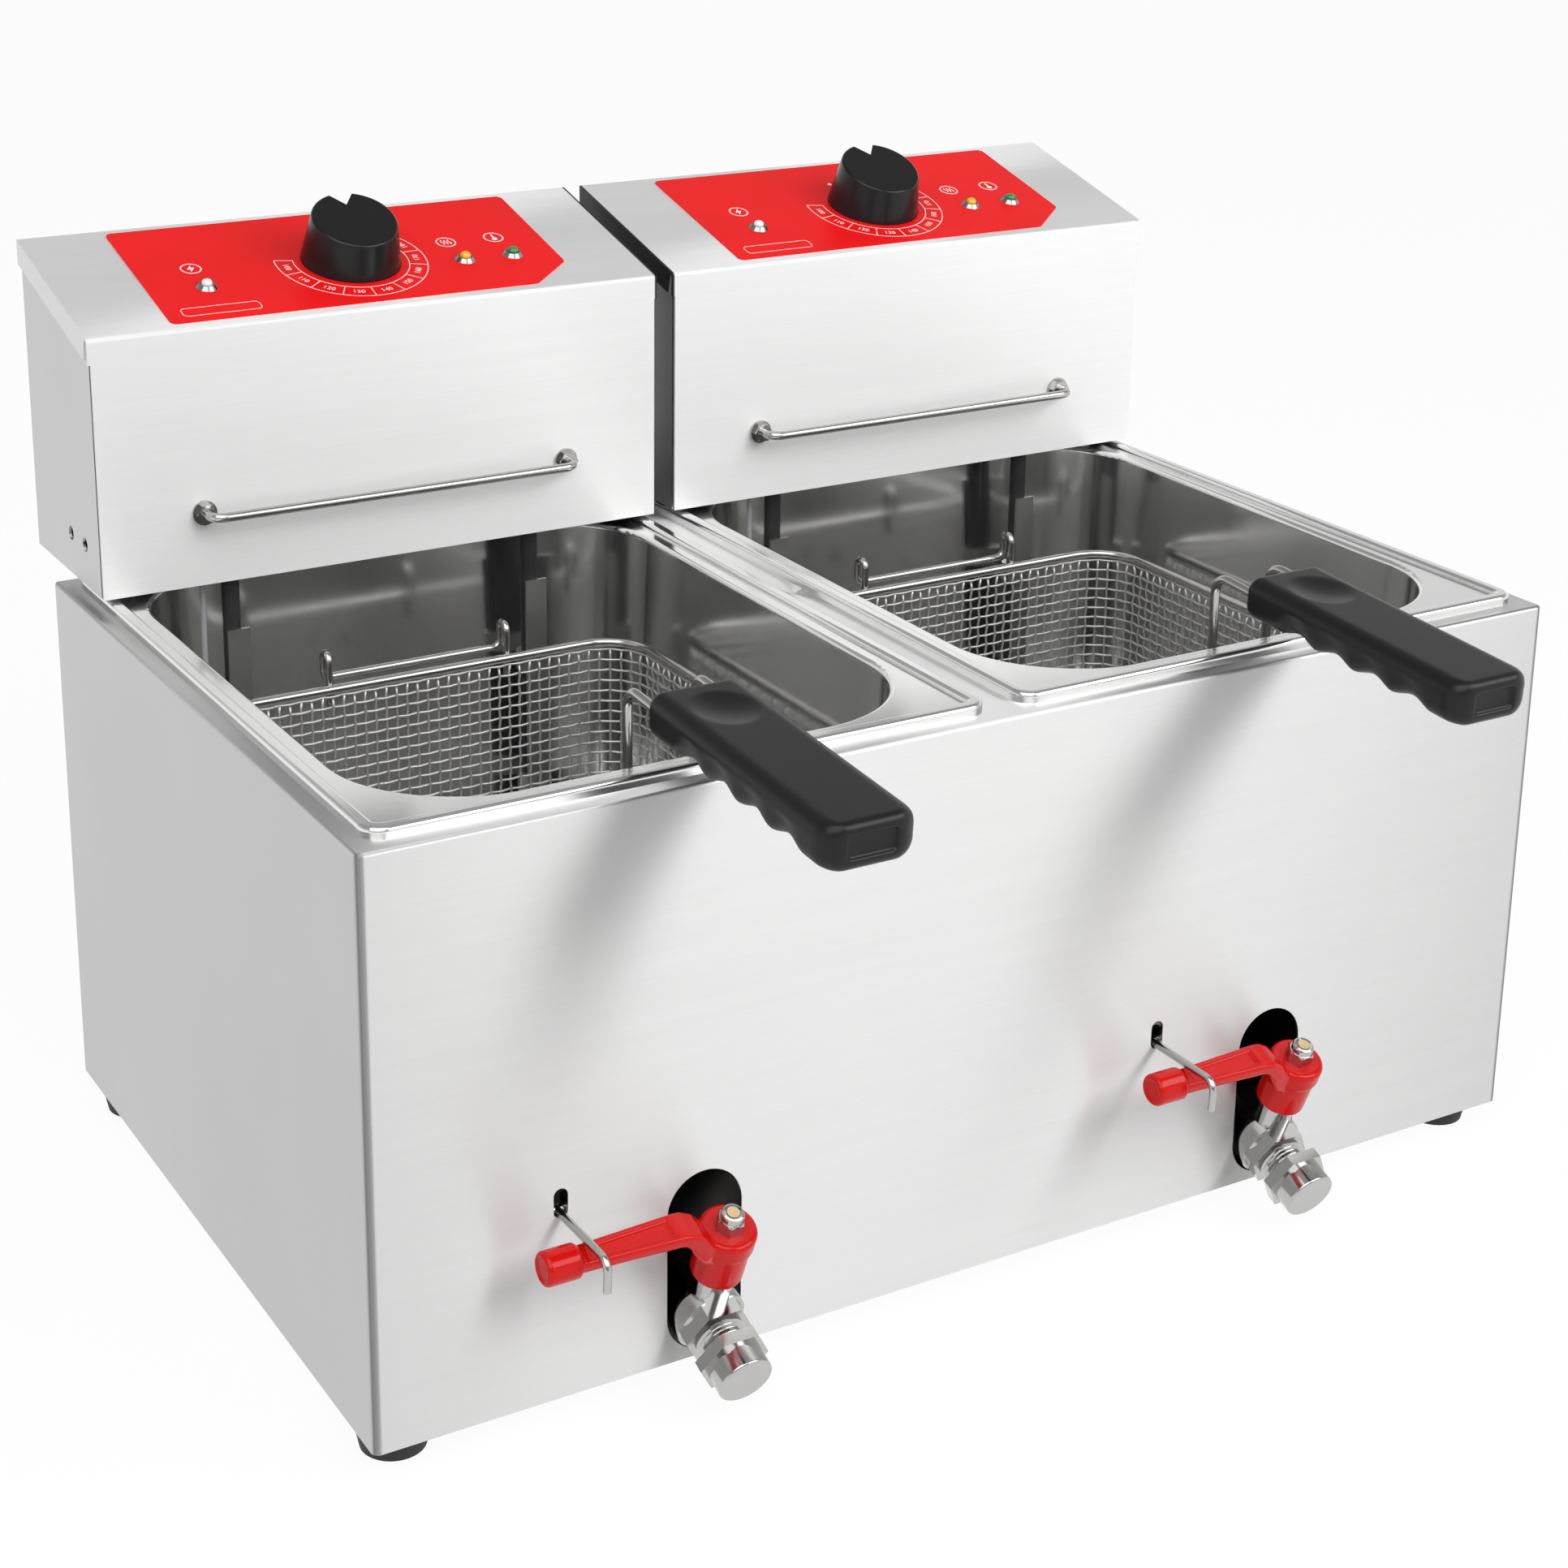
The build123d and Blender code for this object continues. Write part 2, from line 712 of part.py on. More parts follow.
def make_knob_shaft():
    shaft = upright(shaft_radius, 0, 0, -shaft_in_thermostat, film_thickness + seat_gap + shaft_in_knob)
    return on_slope(Pos(knob_place, knob_up_slope, 0) * shaft)


def bulb_x():
    return -leg_x + bulb_offset


def make_thermostat():
    width, deep, tall = thermostat_size
    top = -sheet - seat_gap
    body = on_slope(Pos(knob_place, knob_up_slope, top) * Box(
        width, deep, tall, align=(Align.CENTER, Align.CENTER, Align.MAX)))
    body -= on_slope(Pos(knob_place, knob_up_slope, 0) * upright(
        shaft_radius + running_gap, 0, 0, -shaft_in_thermostat - seat_gap, 1))
    middle = slope_plane().from_local_coords((knob_place, knob_up_slope, top - tall / 2))
    low = rest_z + 2 * rest_radius
    points = ((middle.X + capillary_seat - width / 2, middle.Y, middle.Z), (bulb_x(), middle.Y, middle.Z),
              (bulb_x(), leg_y, middle.Z), (bulb_x(), leg_y, low + bulb_length))
    body += wire(points, capillary_radius, capillary_bend)
    body += upright(bulb_radius, bulb_x(), leg_y, low, low + bulb_length)
    return body


def make_terminal_block():
    width, deep, tall = terminal_size
    x, inset = terminal_place
    block_low = (x - width / 2, head_back - sheet - inset - deep / 2, head_bottom + sheet)
    body = block(block_low, (x + width / 2, head_back - sheet - inset + deep / 2, head_bottom + sheet + tall))
    for step in (-1, 0, 1):
        body -= upright(deep / 6, x + step * width / 3, head_back - sheet - inset,
                        head_bottom + sheet + tall / 2, head_bottom + sheet + 2 * tall)
    return body


def make_cable_gland():
    x, z = gland_place
    gland = hex_along_y(gland_hex, head_back, head_back + gland_hex_length + sheet)
    gland += Pos(0, head_back + gland_hex_length + sheet, 0) * Rot(-90, 0, 0) * Cone(
        gland_hex / 2, gland_hex / 3, gland_dome_length, align=(Align.CENTER, Align.CENTER, Align.MIN))
    gland += along_y(gland_thread_radius, head_back - 3 * sheet - gland_hex_length, head_back)
    gland += hex_along_y(gland_hex, head_back - sheet - gland_hex_length, head_back - sheet)
    gland -= along_y(gland_bore_radius, head_back, gland_end + 1)
    return Pos(x, 0, head_bottom + z) * gland


def make_hanger_bar():
    inside = head_front + sheet + washer_thickness + nut_thickness
    half = bar_span / 2
    points = ((-half, inside, bar_z), (-half, bar_y, bar_z), (half, bar_y, bar_z), (half, inside, bar_z))
    return wire(points, bar_radius, bar_bend)


def make_hanger_nuts():
    pieces = []
    for step in (-1, 1):
        place = Pos(step * bar_span / 2, 0, bar_z)
        bore = along_y(bar_radius + running_gap, head_front - bar_standoff, head_front + bar_standoff)
        washer = along_y(washer_radius, head_front - washer_thickness, head_front)
        seat = head_front - washer_thickness
        nut = hex_along_y(nut_across, seat - nut_thickness, seat)
        inner = hex_along_y(nut_across, head_front + sheet, head_front + sheet + nut_thickness)
        for piece in (washer + nut, inner):
            pieces.append(place * (piece - bore))
    return Compound(children=pieces)


def make_element():
    top = head_bottom + sheet + element_in_head
    inner = leg_x / 3
    back = leg_y - 2 * element_bend
    points = ((-leg_x, leg_y, top), (-leg_x, leg_y, element_z), (-leg_x, element_front, element_z),
              (-inner, element_front, element_z), (-inner, back, element_z), (inner, back, element_z),
              (inner, element_front, element_z), (leg_x, element_front, element_z), (leg_x, leg_y, element_z),
              (leg_x, leg_y, top))
    return wire(points, element_radius, element_bend)


def make_element_guard():
    guard = None
    strip_top = head_bottom - guard_strip_top
    strip_low = element_z + element_bend
    strip_back = strip_front + guard_strip_thickness
    for leg in (-leg_x, leg_x):
        strip_left = leg - element_radius
        strip = block((strip_left, strip_front, strip_low),
                      (strip_left + guard_strip_width, strip_back, strip_top))
        foot_left = leg + rest_offset - rest_radius
        strip += block((foot_left, strip_front, rest_z - rest_radius),
                       (foot_left + 2 * rest_radius, strip_back, strip_low + guard_foot_rise))
        rest = Pos(leg + rest_offset, 0, rest_z) * along_y(
            rest_radius, element_front - rest_front_inset, strip_back)
        guard = strip + rest if guard is None else guard + strip + rest
        for height in (strip_low + guard_foot_rise, strip_top - collar_drop):
            collar = upright(element_radius + collar_wall, leg, leg_y, height, height + collar_height)
            guard += collar
    for place in rest_cross_places:
        across = Cylinder(rest_radius, 2 * leg_x)
        guard += Pos(rest_offset, element_front + place, rest_z) * Rot(0, 90, 0) * across
    for leg in (-leg_x, leg_x):
        guard -= upright(element_radius + running_gap, leg, leg_y, element_z, head_bottom)
    return guard


def make_head_pads():
    x = rim_width / 2 - bead_width / 2
    y = shell_front + pad_setback
    return Compound(children=[upright(pad_radius, step * x, y, rim_top, head_bottom) for step in (-1, 1)])


# Basket

def basket_block(grow, low, high):
    outline = RectangleRounded(basket_width + 2 * grow, basket_depth + 2 * grow, basket_corner + grow)
    solid = Pos(0, basket_middle_y, low) * extrude(outline, high - low)
    return fillet(solid.faces().sort_by(Axis.Z)[0].edges(), basket_floor_fillet + grow)


def gap_grid(wide, tall, gaps_up):
    """Flat grid of openings, with bars between them and along the outside."""
    step_x = (wide - basket_bar) / basket_gaps_across
    step_y = (tall - basket_bar) / gaps_up
    places = GridLocations(step_x, step_y, basket_gaps_across, gaps_up)
    return Sketch() + [place * Rectangle(step_x - basket_bar, step_y - basket_bar) for place in places]


def make_basket_mesh():
    """Bowl with a plain grid of openings in its flat walls and floor."""
    top = basket_rim - frame_radius - seat_gap
    bowl = basket_block(0, basket_floor, top)
    bowl -= basket_block(-basket_wall, basket_floor + basket_wall, top + 1)
    wide = basket_width - 2 * basket_corner
    deep = basket_depth - 2 * basket_corner
    fold = basket_floor + basket_floor_fillet
    middle = Pos(0, basket_middle_y, (fold + top) / 2)
    in_floor = Pos(0, basket_middle_y, 0) * extrude(gap_grid(wide, deep, basket_gaps_across), fold)
    across_y = extrude(Plane.XZ * gap_grid(wide, top - fold, basket_gaps_up), basket_depth, both=True)
    across_x = extrude(Plane.YZ * gap_grid(deep, top - fold, basket_gaps_up), basket_width, both=True)
    return bowl - [in_floor, middle * across_y, middle * across_x]


def make_basket_frame():
    inset = basket_wall / 2
    loop = RectangleRounded(basket_width - 2 * inset, basket_depth - 2 * inset, basket_corner - inset)
    path = Pos(0, basket_middle_y, basket_rim) * loop.face().outer_wire()
    section = Plane(origin=path @ 0, z_dir=path % 0) * Circle(frame_radius)
    frame = sweep(section, path=path)
    half = hook_spacing / 2
    top = basket_rim + hook_rise
    hook_points = []
    for x, order in ((-half, 1), (half, -1)):
        run = [(x, hook_front_y, basket_rim - hook_tail), (x, hook_front_y, top), (x, hook_back_y, top),
               (x, hook_back_y, basket_rim + hook_bar_rise)]
        hook_points += run[::order]
    frame += wire(hook_points, hook_wire_radius, hook_throat * hook_bend_share)
    fall = tan(radians(handle_drop))
    for step in (-1, 1):
        x = step * handle_wire_spacing / 2
        end_y = grip_back_y - wire_in_grip * cos(radians(handle_drop))
        points = ((x, handle_wire_y, basket_floor + basket_floor_fillet), (x, handle_wire_y, handle_z),
                  (x, end_y, handle_z + (end_y - handle_wire_y) * fall))
        frame += wire(points, frame_radius, handle_wire_bend)
    return frame


def make_grip():
    half = grip_height / 2
    bottom = Polyline((0, -half), (-scallop_start, -half))
    lines = [bottom]
    y = -scallop_start
    for groove in range(grip_scallops):
        deepest = (y - scallop_pitch / 2, -half + scallop_depth)
        lines.append(ThreePointArc((y, -half), deepest, (y - scallop_pitch, -half)))
        y -= scallop_pitch
    lines.append(Polyline((y, -half), (-grip_length, -half), (-grip_length, half), (0, half), (0, -half)))
    outline = make_face(Curve() + lines)
    grip = Pos(-grip_width / 2, 0, 0) * (Plane.YZ * extrude(outline, grip_width))
    grip = fillet(grip.edges().filter_by(Axis.Z), grip_edge)
    grip = fillet(grip.faces().sort_by(Axis.Z)[-1].edges(), grip_top_edge)
    grip -= Pos(0, -thumb_setback, half + thumb_radius - thumb_depth) * Sphere(thumb_radius)
    grip -= block((-grip_width / 2 + end_recess_border, -grip_length - 1, -half + end_recess_border),
                  (grip_width / 2 - end_recess_border, -grip_length + end_recess, half - end_recess_border))
    for step in (-1, 1):
        grip -= Pos(step * handle_wire_spacing / 2, 0, 0) * along_y(
            frame_radius + running_gap, -wire_in_grip - seat_gap, 1)
    return tilted((0, grip_back_y, grip_back_z), handle_drop).location * grip


# Write every piece to its own file

os.makedirs("parts", exist_ok=True)

save(make_cabinet_shell(), "cabinet_shell")
save(make_cabinet_back(), "cabinet_back")
save(make_cabinet_floor(), "cabinet_floor")
save(make_feet(), "feet")
save(make_head_rail(), "head_rail")
save(make_hook_clips(), "hook_clips")

side_pieces = {
    "tank": make_tank(),
    "drain_pipe": make_drain_pipe(),
    "valve_body": make_valve_body(),
    "valve_ball": make_valve_ball(),
    "drain_cap": make_drain_cap(),
    "lever": make_lever(),
    "stem_nut": make_stem_nut(),
    "lock_hook": make_lock_hook(),
    "head_shell": make_head_shell(),
    "head_cover": make_head_cover(),
    "control_film": make_control_film(),
    "lamps": make_lamps(),
    "lamp_bezels": make_lamp_bezels(),
    "knob": make_knob(),
    "knob_shaft": make_knob_shaft(),
    "thermostat": make_thermostat(),
    "terminal_block": make_terminal_block(),
    "cable_gland": make_cable_gland(),
    "hanger_bar": make_hanger_bar(),
    "hanger_nuts": make_hanger_nuts(),
    "element": make_element(),
    "element_guard": make_element_guard(),
    "head_pads": make_head_pads(),
    "basket_mesh": make_basket_mesh(),
    "basket_frame": make_basket_frame(),
    "basket_grip": make_grip(),
}
for side, offset in sides.items():
    for name, shape in side_pieces.items():
        save(shape, side + "_" + name, offset)
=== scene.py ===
import math

import bpy
from bpy.props import FloatProperty, FloatVectorProperty, IntProperty, PointerProperty
from mathutils import Matrix, Quaternion, Vector


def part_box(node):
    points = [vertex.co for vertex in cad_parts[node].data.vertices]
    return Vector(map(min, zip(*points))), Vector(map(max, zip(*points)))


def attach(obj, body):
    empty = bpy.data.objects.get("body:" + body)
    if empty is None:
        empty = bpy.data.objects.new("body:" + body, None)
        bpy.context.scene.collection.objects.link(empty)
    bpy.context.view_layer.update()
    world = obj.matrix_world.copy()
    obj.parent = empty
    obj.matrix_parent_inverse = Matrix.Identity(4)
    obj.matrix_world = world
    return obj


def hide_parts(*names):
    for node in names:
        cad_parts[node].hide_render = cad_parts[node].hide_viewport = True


bl_info = {
    "name": "Twin tank fryer",
    "version": (1, 0, 0),
    "blender": (4, 5, 0),
    "location": "View3D > Sidebar > Fryer",
    "description": "Dresses the packed fryer with its finishes, baskets, grips, dials and taps",
    "category": "Object",
}

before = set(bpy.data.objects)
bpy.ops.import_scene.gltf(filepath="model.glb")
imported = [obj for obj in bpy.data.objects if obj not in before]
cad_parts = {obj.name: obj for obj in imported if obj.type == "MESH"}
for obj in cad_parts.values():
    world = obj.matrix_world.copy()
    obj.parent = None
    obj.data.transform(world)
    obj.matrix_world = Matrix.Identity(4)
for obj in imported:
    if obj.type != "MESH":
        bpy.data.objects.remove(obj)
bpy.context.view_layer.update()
MM = 0.001
SIDES = ("left", "right")


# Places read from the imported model

def middle_x(node):
    low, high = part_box(node)
    return (low.x + high.x) / 2


HEAD_X = {side: middle_x(side + "_head_cover") for side in SIDES}
HEAD_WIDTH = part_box("left_head_cover")[1].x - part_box("left_head_cover")[0].x
HEAD_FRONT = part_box("left_head_cover")[0].y
CABINET_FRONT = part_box("cabinet_shell")[0].y


# Directions and sizes that several pieces share

UP = Vector((0, 0, 1))
ACROSS = Vector((1, 0, 0))
BOSS_TOP = 50 * MM
STEM_BORE = 2.75 * MM


# Properties that a user would change

class FryerFinishes(bpy.types.PropertyGroup):
    panel: FloatVectorProperty(
        name="Cabinet steel", description="Colour of the cabinet's brushed sheet", subtype="COLOR", size=3,
        default=(0.7, 0.7, 0.698), min=0, max=1)
    # Painted light: the heads' steel is given a lighter colour than the cabinet's, so that the head fronts
    # come out brighter than the cabinet front
    head: FloatVectorProperty(
        name="Head steel", description="Colour of the heads' brushed sheet", subtype="COLOR", size=3,
        default=(0.8, 0.8, 0.798), min=0, max=1)
    tank: FloatVectorProperty(
        name="Tank steel", description="Colour of the drawn tanks", subtype="COLOR", size=3,
        default=(0.84, 0.84, 0.835), min=0, max=1)
    wire: FloatVectorProperty(
        name="Wire", description="Colour of the bright wire", subtype="COLOR", size=3,
        default=(0.5, 0.495, 0.485), min=0, max=1)
    plated: FloatVectorProperty(
        name="Plated metal", description="Colour of the valves, caps and nuts", subtype="COLOR", size=3,
        default=(0.5, 0.496, 0.484), min=0, max=1)
    film: FloatVectorProperty(
        name="Control film", description="Red of the control film", subtype="COLOR", size=3,
        default=(0.75, 0.008, 0.009), min=0, max=1)
    lever: FloatVectorProperty(
        name="Lever paint", description="Red of the drain levers", subtype="COLOR", size=3,
        default=(0.5, 0.004, 0.003), min=0, max=1)
    black: FloatVectorProperty(
        name="Black plastic", description="Colour of the grips and knobs", subtype="COLOR", size=3,
        default=(0.006, 0.006, 0.0064), min=0, max=1)


class FryerBaskets(bpy.types.PropertyGroup):
    pitch: FloatProperty(
        name="Mesh pitch", description="Distance between the wires of the mesh", unit="LENGTH",
        default=5 * MM, min=2 * MM, max=20 * MM)
    wire: FloatProperty(
        name="Mesh wire", description="Diameter of the wires of the mesh", unit="LENGTH", default=1.2 * MM,
        min=0.3 * MM, max=3 * MM)
    corner: FloatProperty(
        name="Corner radius", description="Upright corners of the basket", unit="LENGTH", default=24 * MM)
    fold: FloatProperty(
        name="Floor radius", description="Fold between wall and floor of the basket", unit="LENGTH",
        default=12 * MM)
    sides: IntProperty(name="Wire sides", description="Sides of each mesh wire", default=5, min=3, max=12)


class FryerGrips(bpy.types.PropertyGroup):
    length: FloatProperty(name="Length", description="Length of a grip", unit="LENGTH", default=124 * MM)
    width: FloatProperty(name="Width", description="Width of a grip", unit="LENGTH", default=39 * MM)
    height: FloatProperty(name="Height", description="Thickness of a grip", unit="LENGTH", default=18 * MM)
    drop: FloatProperty(
        name="Drop", description="How far a grip falls towards its front", unit="ROTATION",
        default=math.radians(3.7))
    scallops: IntProperty(name="Scallops", description="Finger hollows underneath", default=4, min=0, max=8)
    scallop_pitch: FloatProperty(
        name="Scallop pitch", description="Distance between finger hollows", unit="LENGTH", default=22 * MM)
    scallop_depth: FloatProperty(
        name="Scallop depth", description="Depth of a finger hollow", unit="LENGTH", default=2.5 * MM)
    nose: FloatProperty(
        name="Nose", description="Radius of the front corners, seen from above", unit="LENGTH",
        default=8.5 * MM)
    edge: FloatProperty(
        name="Edge", description="Radius of the end edges", unit="LENGTH", default=3.5 * MM)
    thumb_depth: FloatProperty(
        name="Thumb hollow", description="Depth of the thumb hollow", unit="LENGTH", default=1.9 * MM)


class FryerPanels(bpy.types.PropertyGroup):
    slope: FloatProperty(
        name="Slope", description="Slope of the head's top", unit="ROTATION", default=math.radians(15.3))
    front_top: FloatProperty(
        name="Front height", description="Height of the head's front edge", unit="LENGTH", default=374 * MM)
    film_thickness: FloatProperty(
        name="Film thickness", description="Thickness of the control film", unit="LENGTH", default=0.5 * MM)
    knob_up: FloatProperty(
        name="Dial place", description="Middle of the dial, up the slope", unit="LENGTH", default=44.9 * MM)
    knob_across: FloatProperty(
        name="Dial offset", description="Middle of the dial, right of the head's middle", unit="LENGTH",
        default=1.9 * MM)
    dial_outer: FloatProperty(
        name="Dial outside", description="Radius of the outer dial line", unit="LENGTH", default=35 * MM)
    dial_inner: FloatProperty(
        name="Dial inside", description="Radius of the inner dial line", unit="LENGTH", default=26.6 * MM)
    line: FloatProperty(
        name="Line", description="Width of the printed lines", unit="LENGTH", default=0.36 * MM)
    sign: FloatProperty(
        name="Signs", description="Radius of the rings round the signs", unit="LENGTH", default=4.5 * MM)


class FryerTaps(bpy.types.PropertyGroup):
    tilt: FloatProperty(name="Tilt", description="Lean of the tap", unit="ROTATION", default=math.radians(22))
    height: FloatProperty(
        name="Height", description="Height of the valve's middle", unit="LENGTH", default=31.5 * MM)
    boss: FloatProperty(
        name="Boss", description="Radius of the lever's boss", unit="LENGTH", default=11.5 * MM)
    reach: FloatProperty(name="Reach", description="Length of the lever", unit="LENGTH", default=81 * MM)
    grain: FloatProperty(
        name="Casting grain", description="Fineness of the cast shape", unit="LENGTH", default=0.45 * MM)


class FryerStage(bpy.types.PropertyGroup):
    place: FloatVectorProperty(
        name="Camera place", description="Where the camera stands", subtype="TRANSLATION", size=3,
        default=(-0.6245, -0.9908, 0.6549))
    heading: FloatProperty(
        name="Heading", description="Camera heading, clockwise from straight on", unit="ROTATION",
        default=math.radians(29.37))
    fall: FloatProperty(
        name="Fall", description="How far the camera looks down", unit="ROTATION",
        default=math.radians(16.79))
    roll: FloatProperty(name="Roll", description="Camera roll", unit="ROTATION", default=math.radians(0.28))
    lens: FloatProperty(name="Lens", description="Focal length in millimetres", default=65.5, min=10, max=300)
    shift_x: FloatProperty(name="Shift across", description="Lens shift across", default=0.06)
    shift_y: FloatProperty(name="Shift up", description="Lens shift up", default=-0.18)
    key: FloatProperty(
        name="Key light", description="Power of the large soft light", unit="POWER", default=52)
    strip: FloatProperty(
        name="Strip light", description="Power of the soft light that the front reflects", unit="POWER",
        default=20)


GROUPS = {
    "fryer_finishes": FryerFinishes, "fryer_baskets": FryerBaskets, "fryer_grips": FryerGrips,
    "fryer_panels": FryerPanels, "fryer_taps": FryerTaps, "fryer_stage": FryerStage,
}


# Shader node groups

def new_group(name, inputs, outputs):
    group = bpy.data.node_groups.new(name, "ShaderNodeTree")
    for label, kind, value in inputs:
        socket = group.interface.new_socket(name=label, in_out="INPUT", socket_type=kind)
        socket.default_value = value
    for label, kind in outputs:
        group.interface.new_socket(name=label, in_out="OUTPUT", socket_type=kind)
    return group, group.nodes.new("NodeGroupInput"), group.nodes.new("NodeGroupOutput")


def math_node(tree, operation, first, second):
    node = tree.nodes.new("ShaderNodeMath")
    node.operation = operation
    for socket, value in zip(node.inputs, (first, second)):
        if isinstance(value, (int, float)):
            socket.default_value = value
        else:
            tree.links.new(value, socket)
    return node.outputs[0]


def ranged(tree, value, low, high):
    node = tree.nodes.new("ShaderNodeMapRange")
    tree.links.new(value, node.inputs["Value"])
    for name, limit in (("To Min", low), ("To Max", high)):
        if isinstance(limit, (int, float)):
            node.inputs[name].default_value = limit
        else:
            tree.links.new(limit, node.inputs[name])
    return node.outputs["Result"]


def clipped(tree, value, start, end):
    """Nought before the start and one after the end, smooth between them."""
    node = tree.nodes.new("ShaderNodeMapRange")
    node.interpolation_type = "SMOOTHSTEP"
    tree.links.new(value, node.inputs["Value"])
    node.inputs["From Min"].default_value = start
    node.inputs["From Max"].default_value = end
    return node.outputs["Result"]


def noise(tree, vector, scale, detail, roughness=0.5):
    node = tree.nodes.new("ShaderNodeTexNoise")
    if isinstance(scale, (int, float)):
        node.inputs["Scale"].default_value = scale
    else:
        tree.links.new(scale, node.inputs["Scale"])
    node.inputs["Detail"].default_value = detail
    node.inputs["Roughness"].default_value = roughness
    tree.links.new(vector, node.inputs["Vector"])
    return node.outputs["Fac"]


def make_sheet_grain():
    """Brush lines of rolled sheet: long level streaks, drawn out along x and y and fine across."""
    fine_share, coarse_scale, cloud_scale = 0.65, 0.13, 9.0
    group, given, out = new_group(
        "sheet_grain",
        [("Along", "NodeSocketVector", (3, 3, 1400))],
        [("Streak", "NodeSocketFloat"), ("Line", "NodeSocketFloat"), ("Cloud", "NodeSocketFloat")])
    place = group.nodes.new("ShaderNodeTexCoord").outputs["Object"]
    stretch = group.nodes.new("ShaderNodeVectorMath")
    stretch.operation = "MULTIPLY"
    group.links.new(place, stretch.inputs[0])
    group.links.new(given.outputs["Along"], stretch.inputs[1])
    fine = noise(group, stretch.outputs["Vector"], 1.0, detail=3, roughness=0.6)
    coarse_place = group.nodes.new("ShaderNodeVectorMath")
    coarse_place.operation = "SCALE"
    coarse_place.inputs["Scale"].default_value = coarse_scale
    group.links.new(stretch.outputs["Vector"], coarse_place.inputs[0])
    coarse = noise(group, coarse_place.outputs["Vector"], 1.0, detail=2)
    fine_part = math_node(group, "MULTIPLY", fine, fine_share)
    coarse_part = math_node(group, "MULTIPLY", coarse, 1 - fine_share)
    group.links.new(math_node(group, "ADD", fine_part, coarse_part), out.inputs["Streak"])
    group.links.new(fine, out.inputs["Line"])
    group.links.new(noise(group, place, cloud_scale, detail=3), out.inputs["Cloud"])
    return group


def make_handling():
    """Uneven gloss left by handling and wiping: soft clouds and a few fine marks."""
    group, given, out = new_group(
        "handling", [("Scale", "NodeSocketFloat", 30.0)],
        [("Cloud", "NodeSocketFloat"), ("Marks", "NodeSocketFloat")])
    marks_finer = 14.0
    place = group.nodes.new("ShaderNodeTexCoord").outputs["Object"]
    cloud = noise(group, place, given.outputs["Scale"], detail=4, roughness=0.55)
    mark_scale = math_node(group, "MULTIPLY", given.outputs["Scale"], marks_finer)
    marks = noise(group, place, mark_scale, detail=2, roughness=0.7)
    group.links.new(cloud, out.inputs["Cloud"])
    group.links.new(marks, out.inputs["Marks"])
    return group


def make_moulded_skin():
    """Fine spark texture of moulded plastic and rubber."""
    group, given, out = new_group(
        "moulded_skin", [("Scale", "NodeSocketFloat", 1500.0)],
        [("Height", "NodeSocketFloat"), ("Cloud", "NodeSocketFloat")])
    cloud_scale = 24.0
    place = group.nodes.new("ShaderNodeTexCoord").outputs["Object"]
    group.links.new(noise(group, place, given.outputs["Scale"], detail=2), out.inputs["Height"])
    group.links.new(noise(group, place, cloud_scale, detail=3), out.inputs["Cloud"])
    return group


GROUP_MAKERS = {
    "sheet_grain": make_sheet_grain, "handling": make_handling, "moulded_skin": make_moulded_skin,
}


def effect(tree, name, **values):
    """Places a shared effect in a material, with the material's own values."""
    group = bpy.data.node_groups.get(name) or GROUP_MAKERS[name]()
    node = tree.nodes.new("ShaderNodeGroup")
    node.node_tree = group
    for key, value in values.items():
        node.inputs[key].default_value = value
    return node


# Materials

# How fine the brush lines are along x, y and z, the near-black colour of painted shade and the height of a
# fine relief
BRUSHED = (22, 22, 1500)
DRAWN = (60, 60, 5)
# Painted shade: the near-black base colour put where shade falls
PAINTED_SHADE = (0.02, 0.02, 0.02, 1)
SKIN_RELIEF = 0.05 * MM


def begin(name, **sockets):
    """A new material with its Principled shader's plain sockets set, or the one already made."""
    material = bpy.data.materials.get(name)
    if material:
        return material, None, None
    material = bpy.data.materials.new(name)
    material.use_nodes = True
    shader = material.node_tree.nodes["Principled BSDF"]
    for key, value in sockets.items():
        shader.inputs[key.replace("_", " ")].default_value = value
    return material, material.node_tree, shader


def tint(tree, shader, colour, mask, dark, light):
    """Base colour that goes from a darker to a lighter share of one colour along a mask."""
    mix = tree.nodes.new("ShaderNodeMix")
    mix.data_type = "RGBA"
    tree.links.new(mask, mix.inputs["Factor"])
    mix.inputs["A"].default_value = (*[min(1, c * dark) for c in colour], 1)
    mix.inputs["B"].default_value = (*[min(1, c * light) for c in colour], 1)
    tree.links.new(mix.outputs["Result"], shader.inputs["Base Color"])


def bump(tree, shader, height, strength, distance):
    node = tree.nodes.new("ShaderNodeBump")
    node.inputs["Strength"].default_value = strength
    node.inputs["Distance"].default_value = distance
    tree.links.new(height, node.inputs["Height"])
    tree.links.new(node.outputs["Normal"], shader.inputs["Normal"])


def sheet_steel(name, colour, along, rough, relief, **sockets):
    """Brushed sheet, whose reflections are drawn out across its brush lines."""
    streak_spread, cloud_spread = 0.05, 0.03
    material, tree, shader = begin(name, Anisotropic_Rotation=0.25, **sockets)
    if tree:
        grain = effect(tree, "sheet_grain", Along=along)
        tint(tree, shader, colour, grain.outputs["Streak"], dark=0.93, light=1.06)
        streaks = ranged(tree, grain.outputs["Streak"], rough - streak_spread, rough + streak_spread)
        clouds = ranged(tree, grain.outputs["Cloud"], -cloud_spread, cloud_spread)
        tree.links.new(math_node(tree, "ADD", streaks, clouds), shader.inputs["Roughness"])
        bump(tree, shader, grain.outputs["Line"], strength=relief, distance=SKIN_RELIEF)
        around = tree.nodes.new("ShaderNodeTangent")
        around.direction_type = "RADIAL"
        around.axis = "Z"
        tree.links.new(around.outputs["Tangent"], shader.inputs["Tangent"])
    return material


def panel_steel():
    return sheet_steel("brushed_panel_steel", settings("finishes").panel, BRUSHED, rough=0.44, relief=0.25,
                       Metallic=1.0, Anisotropic=1.0)
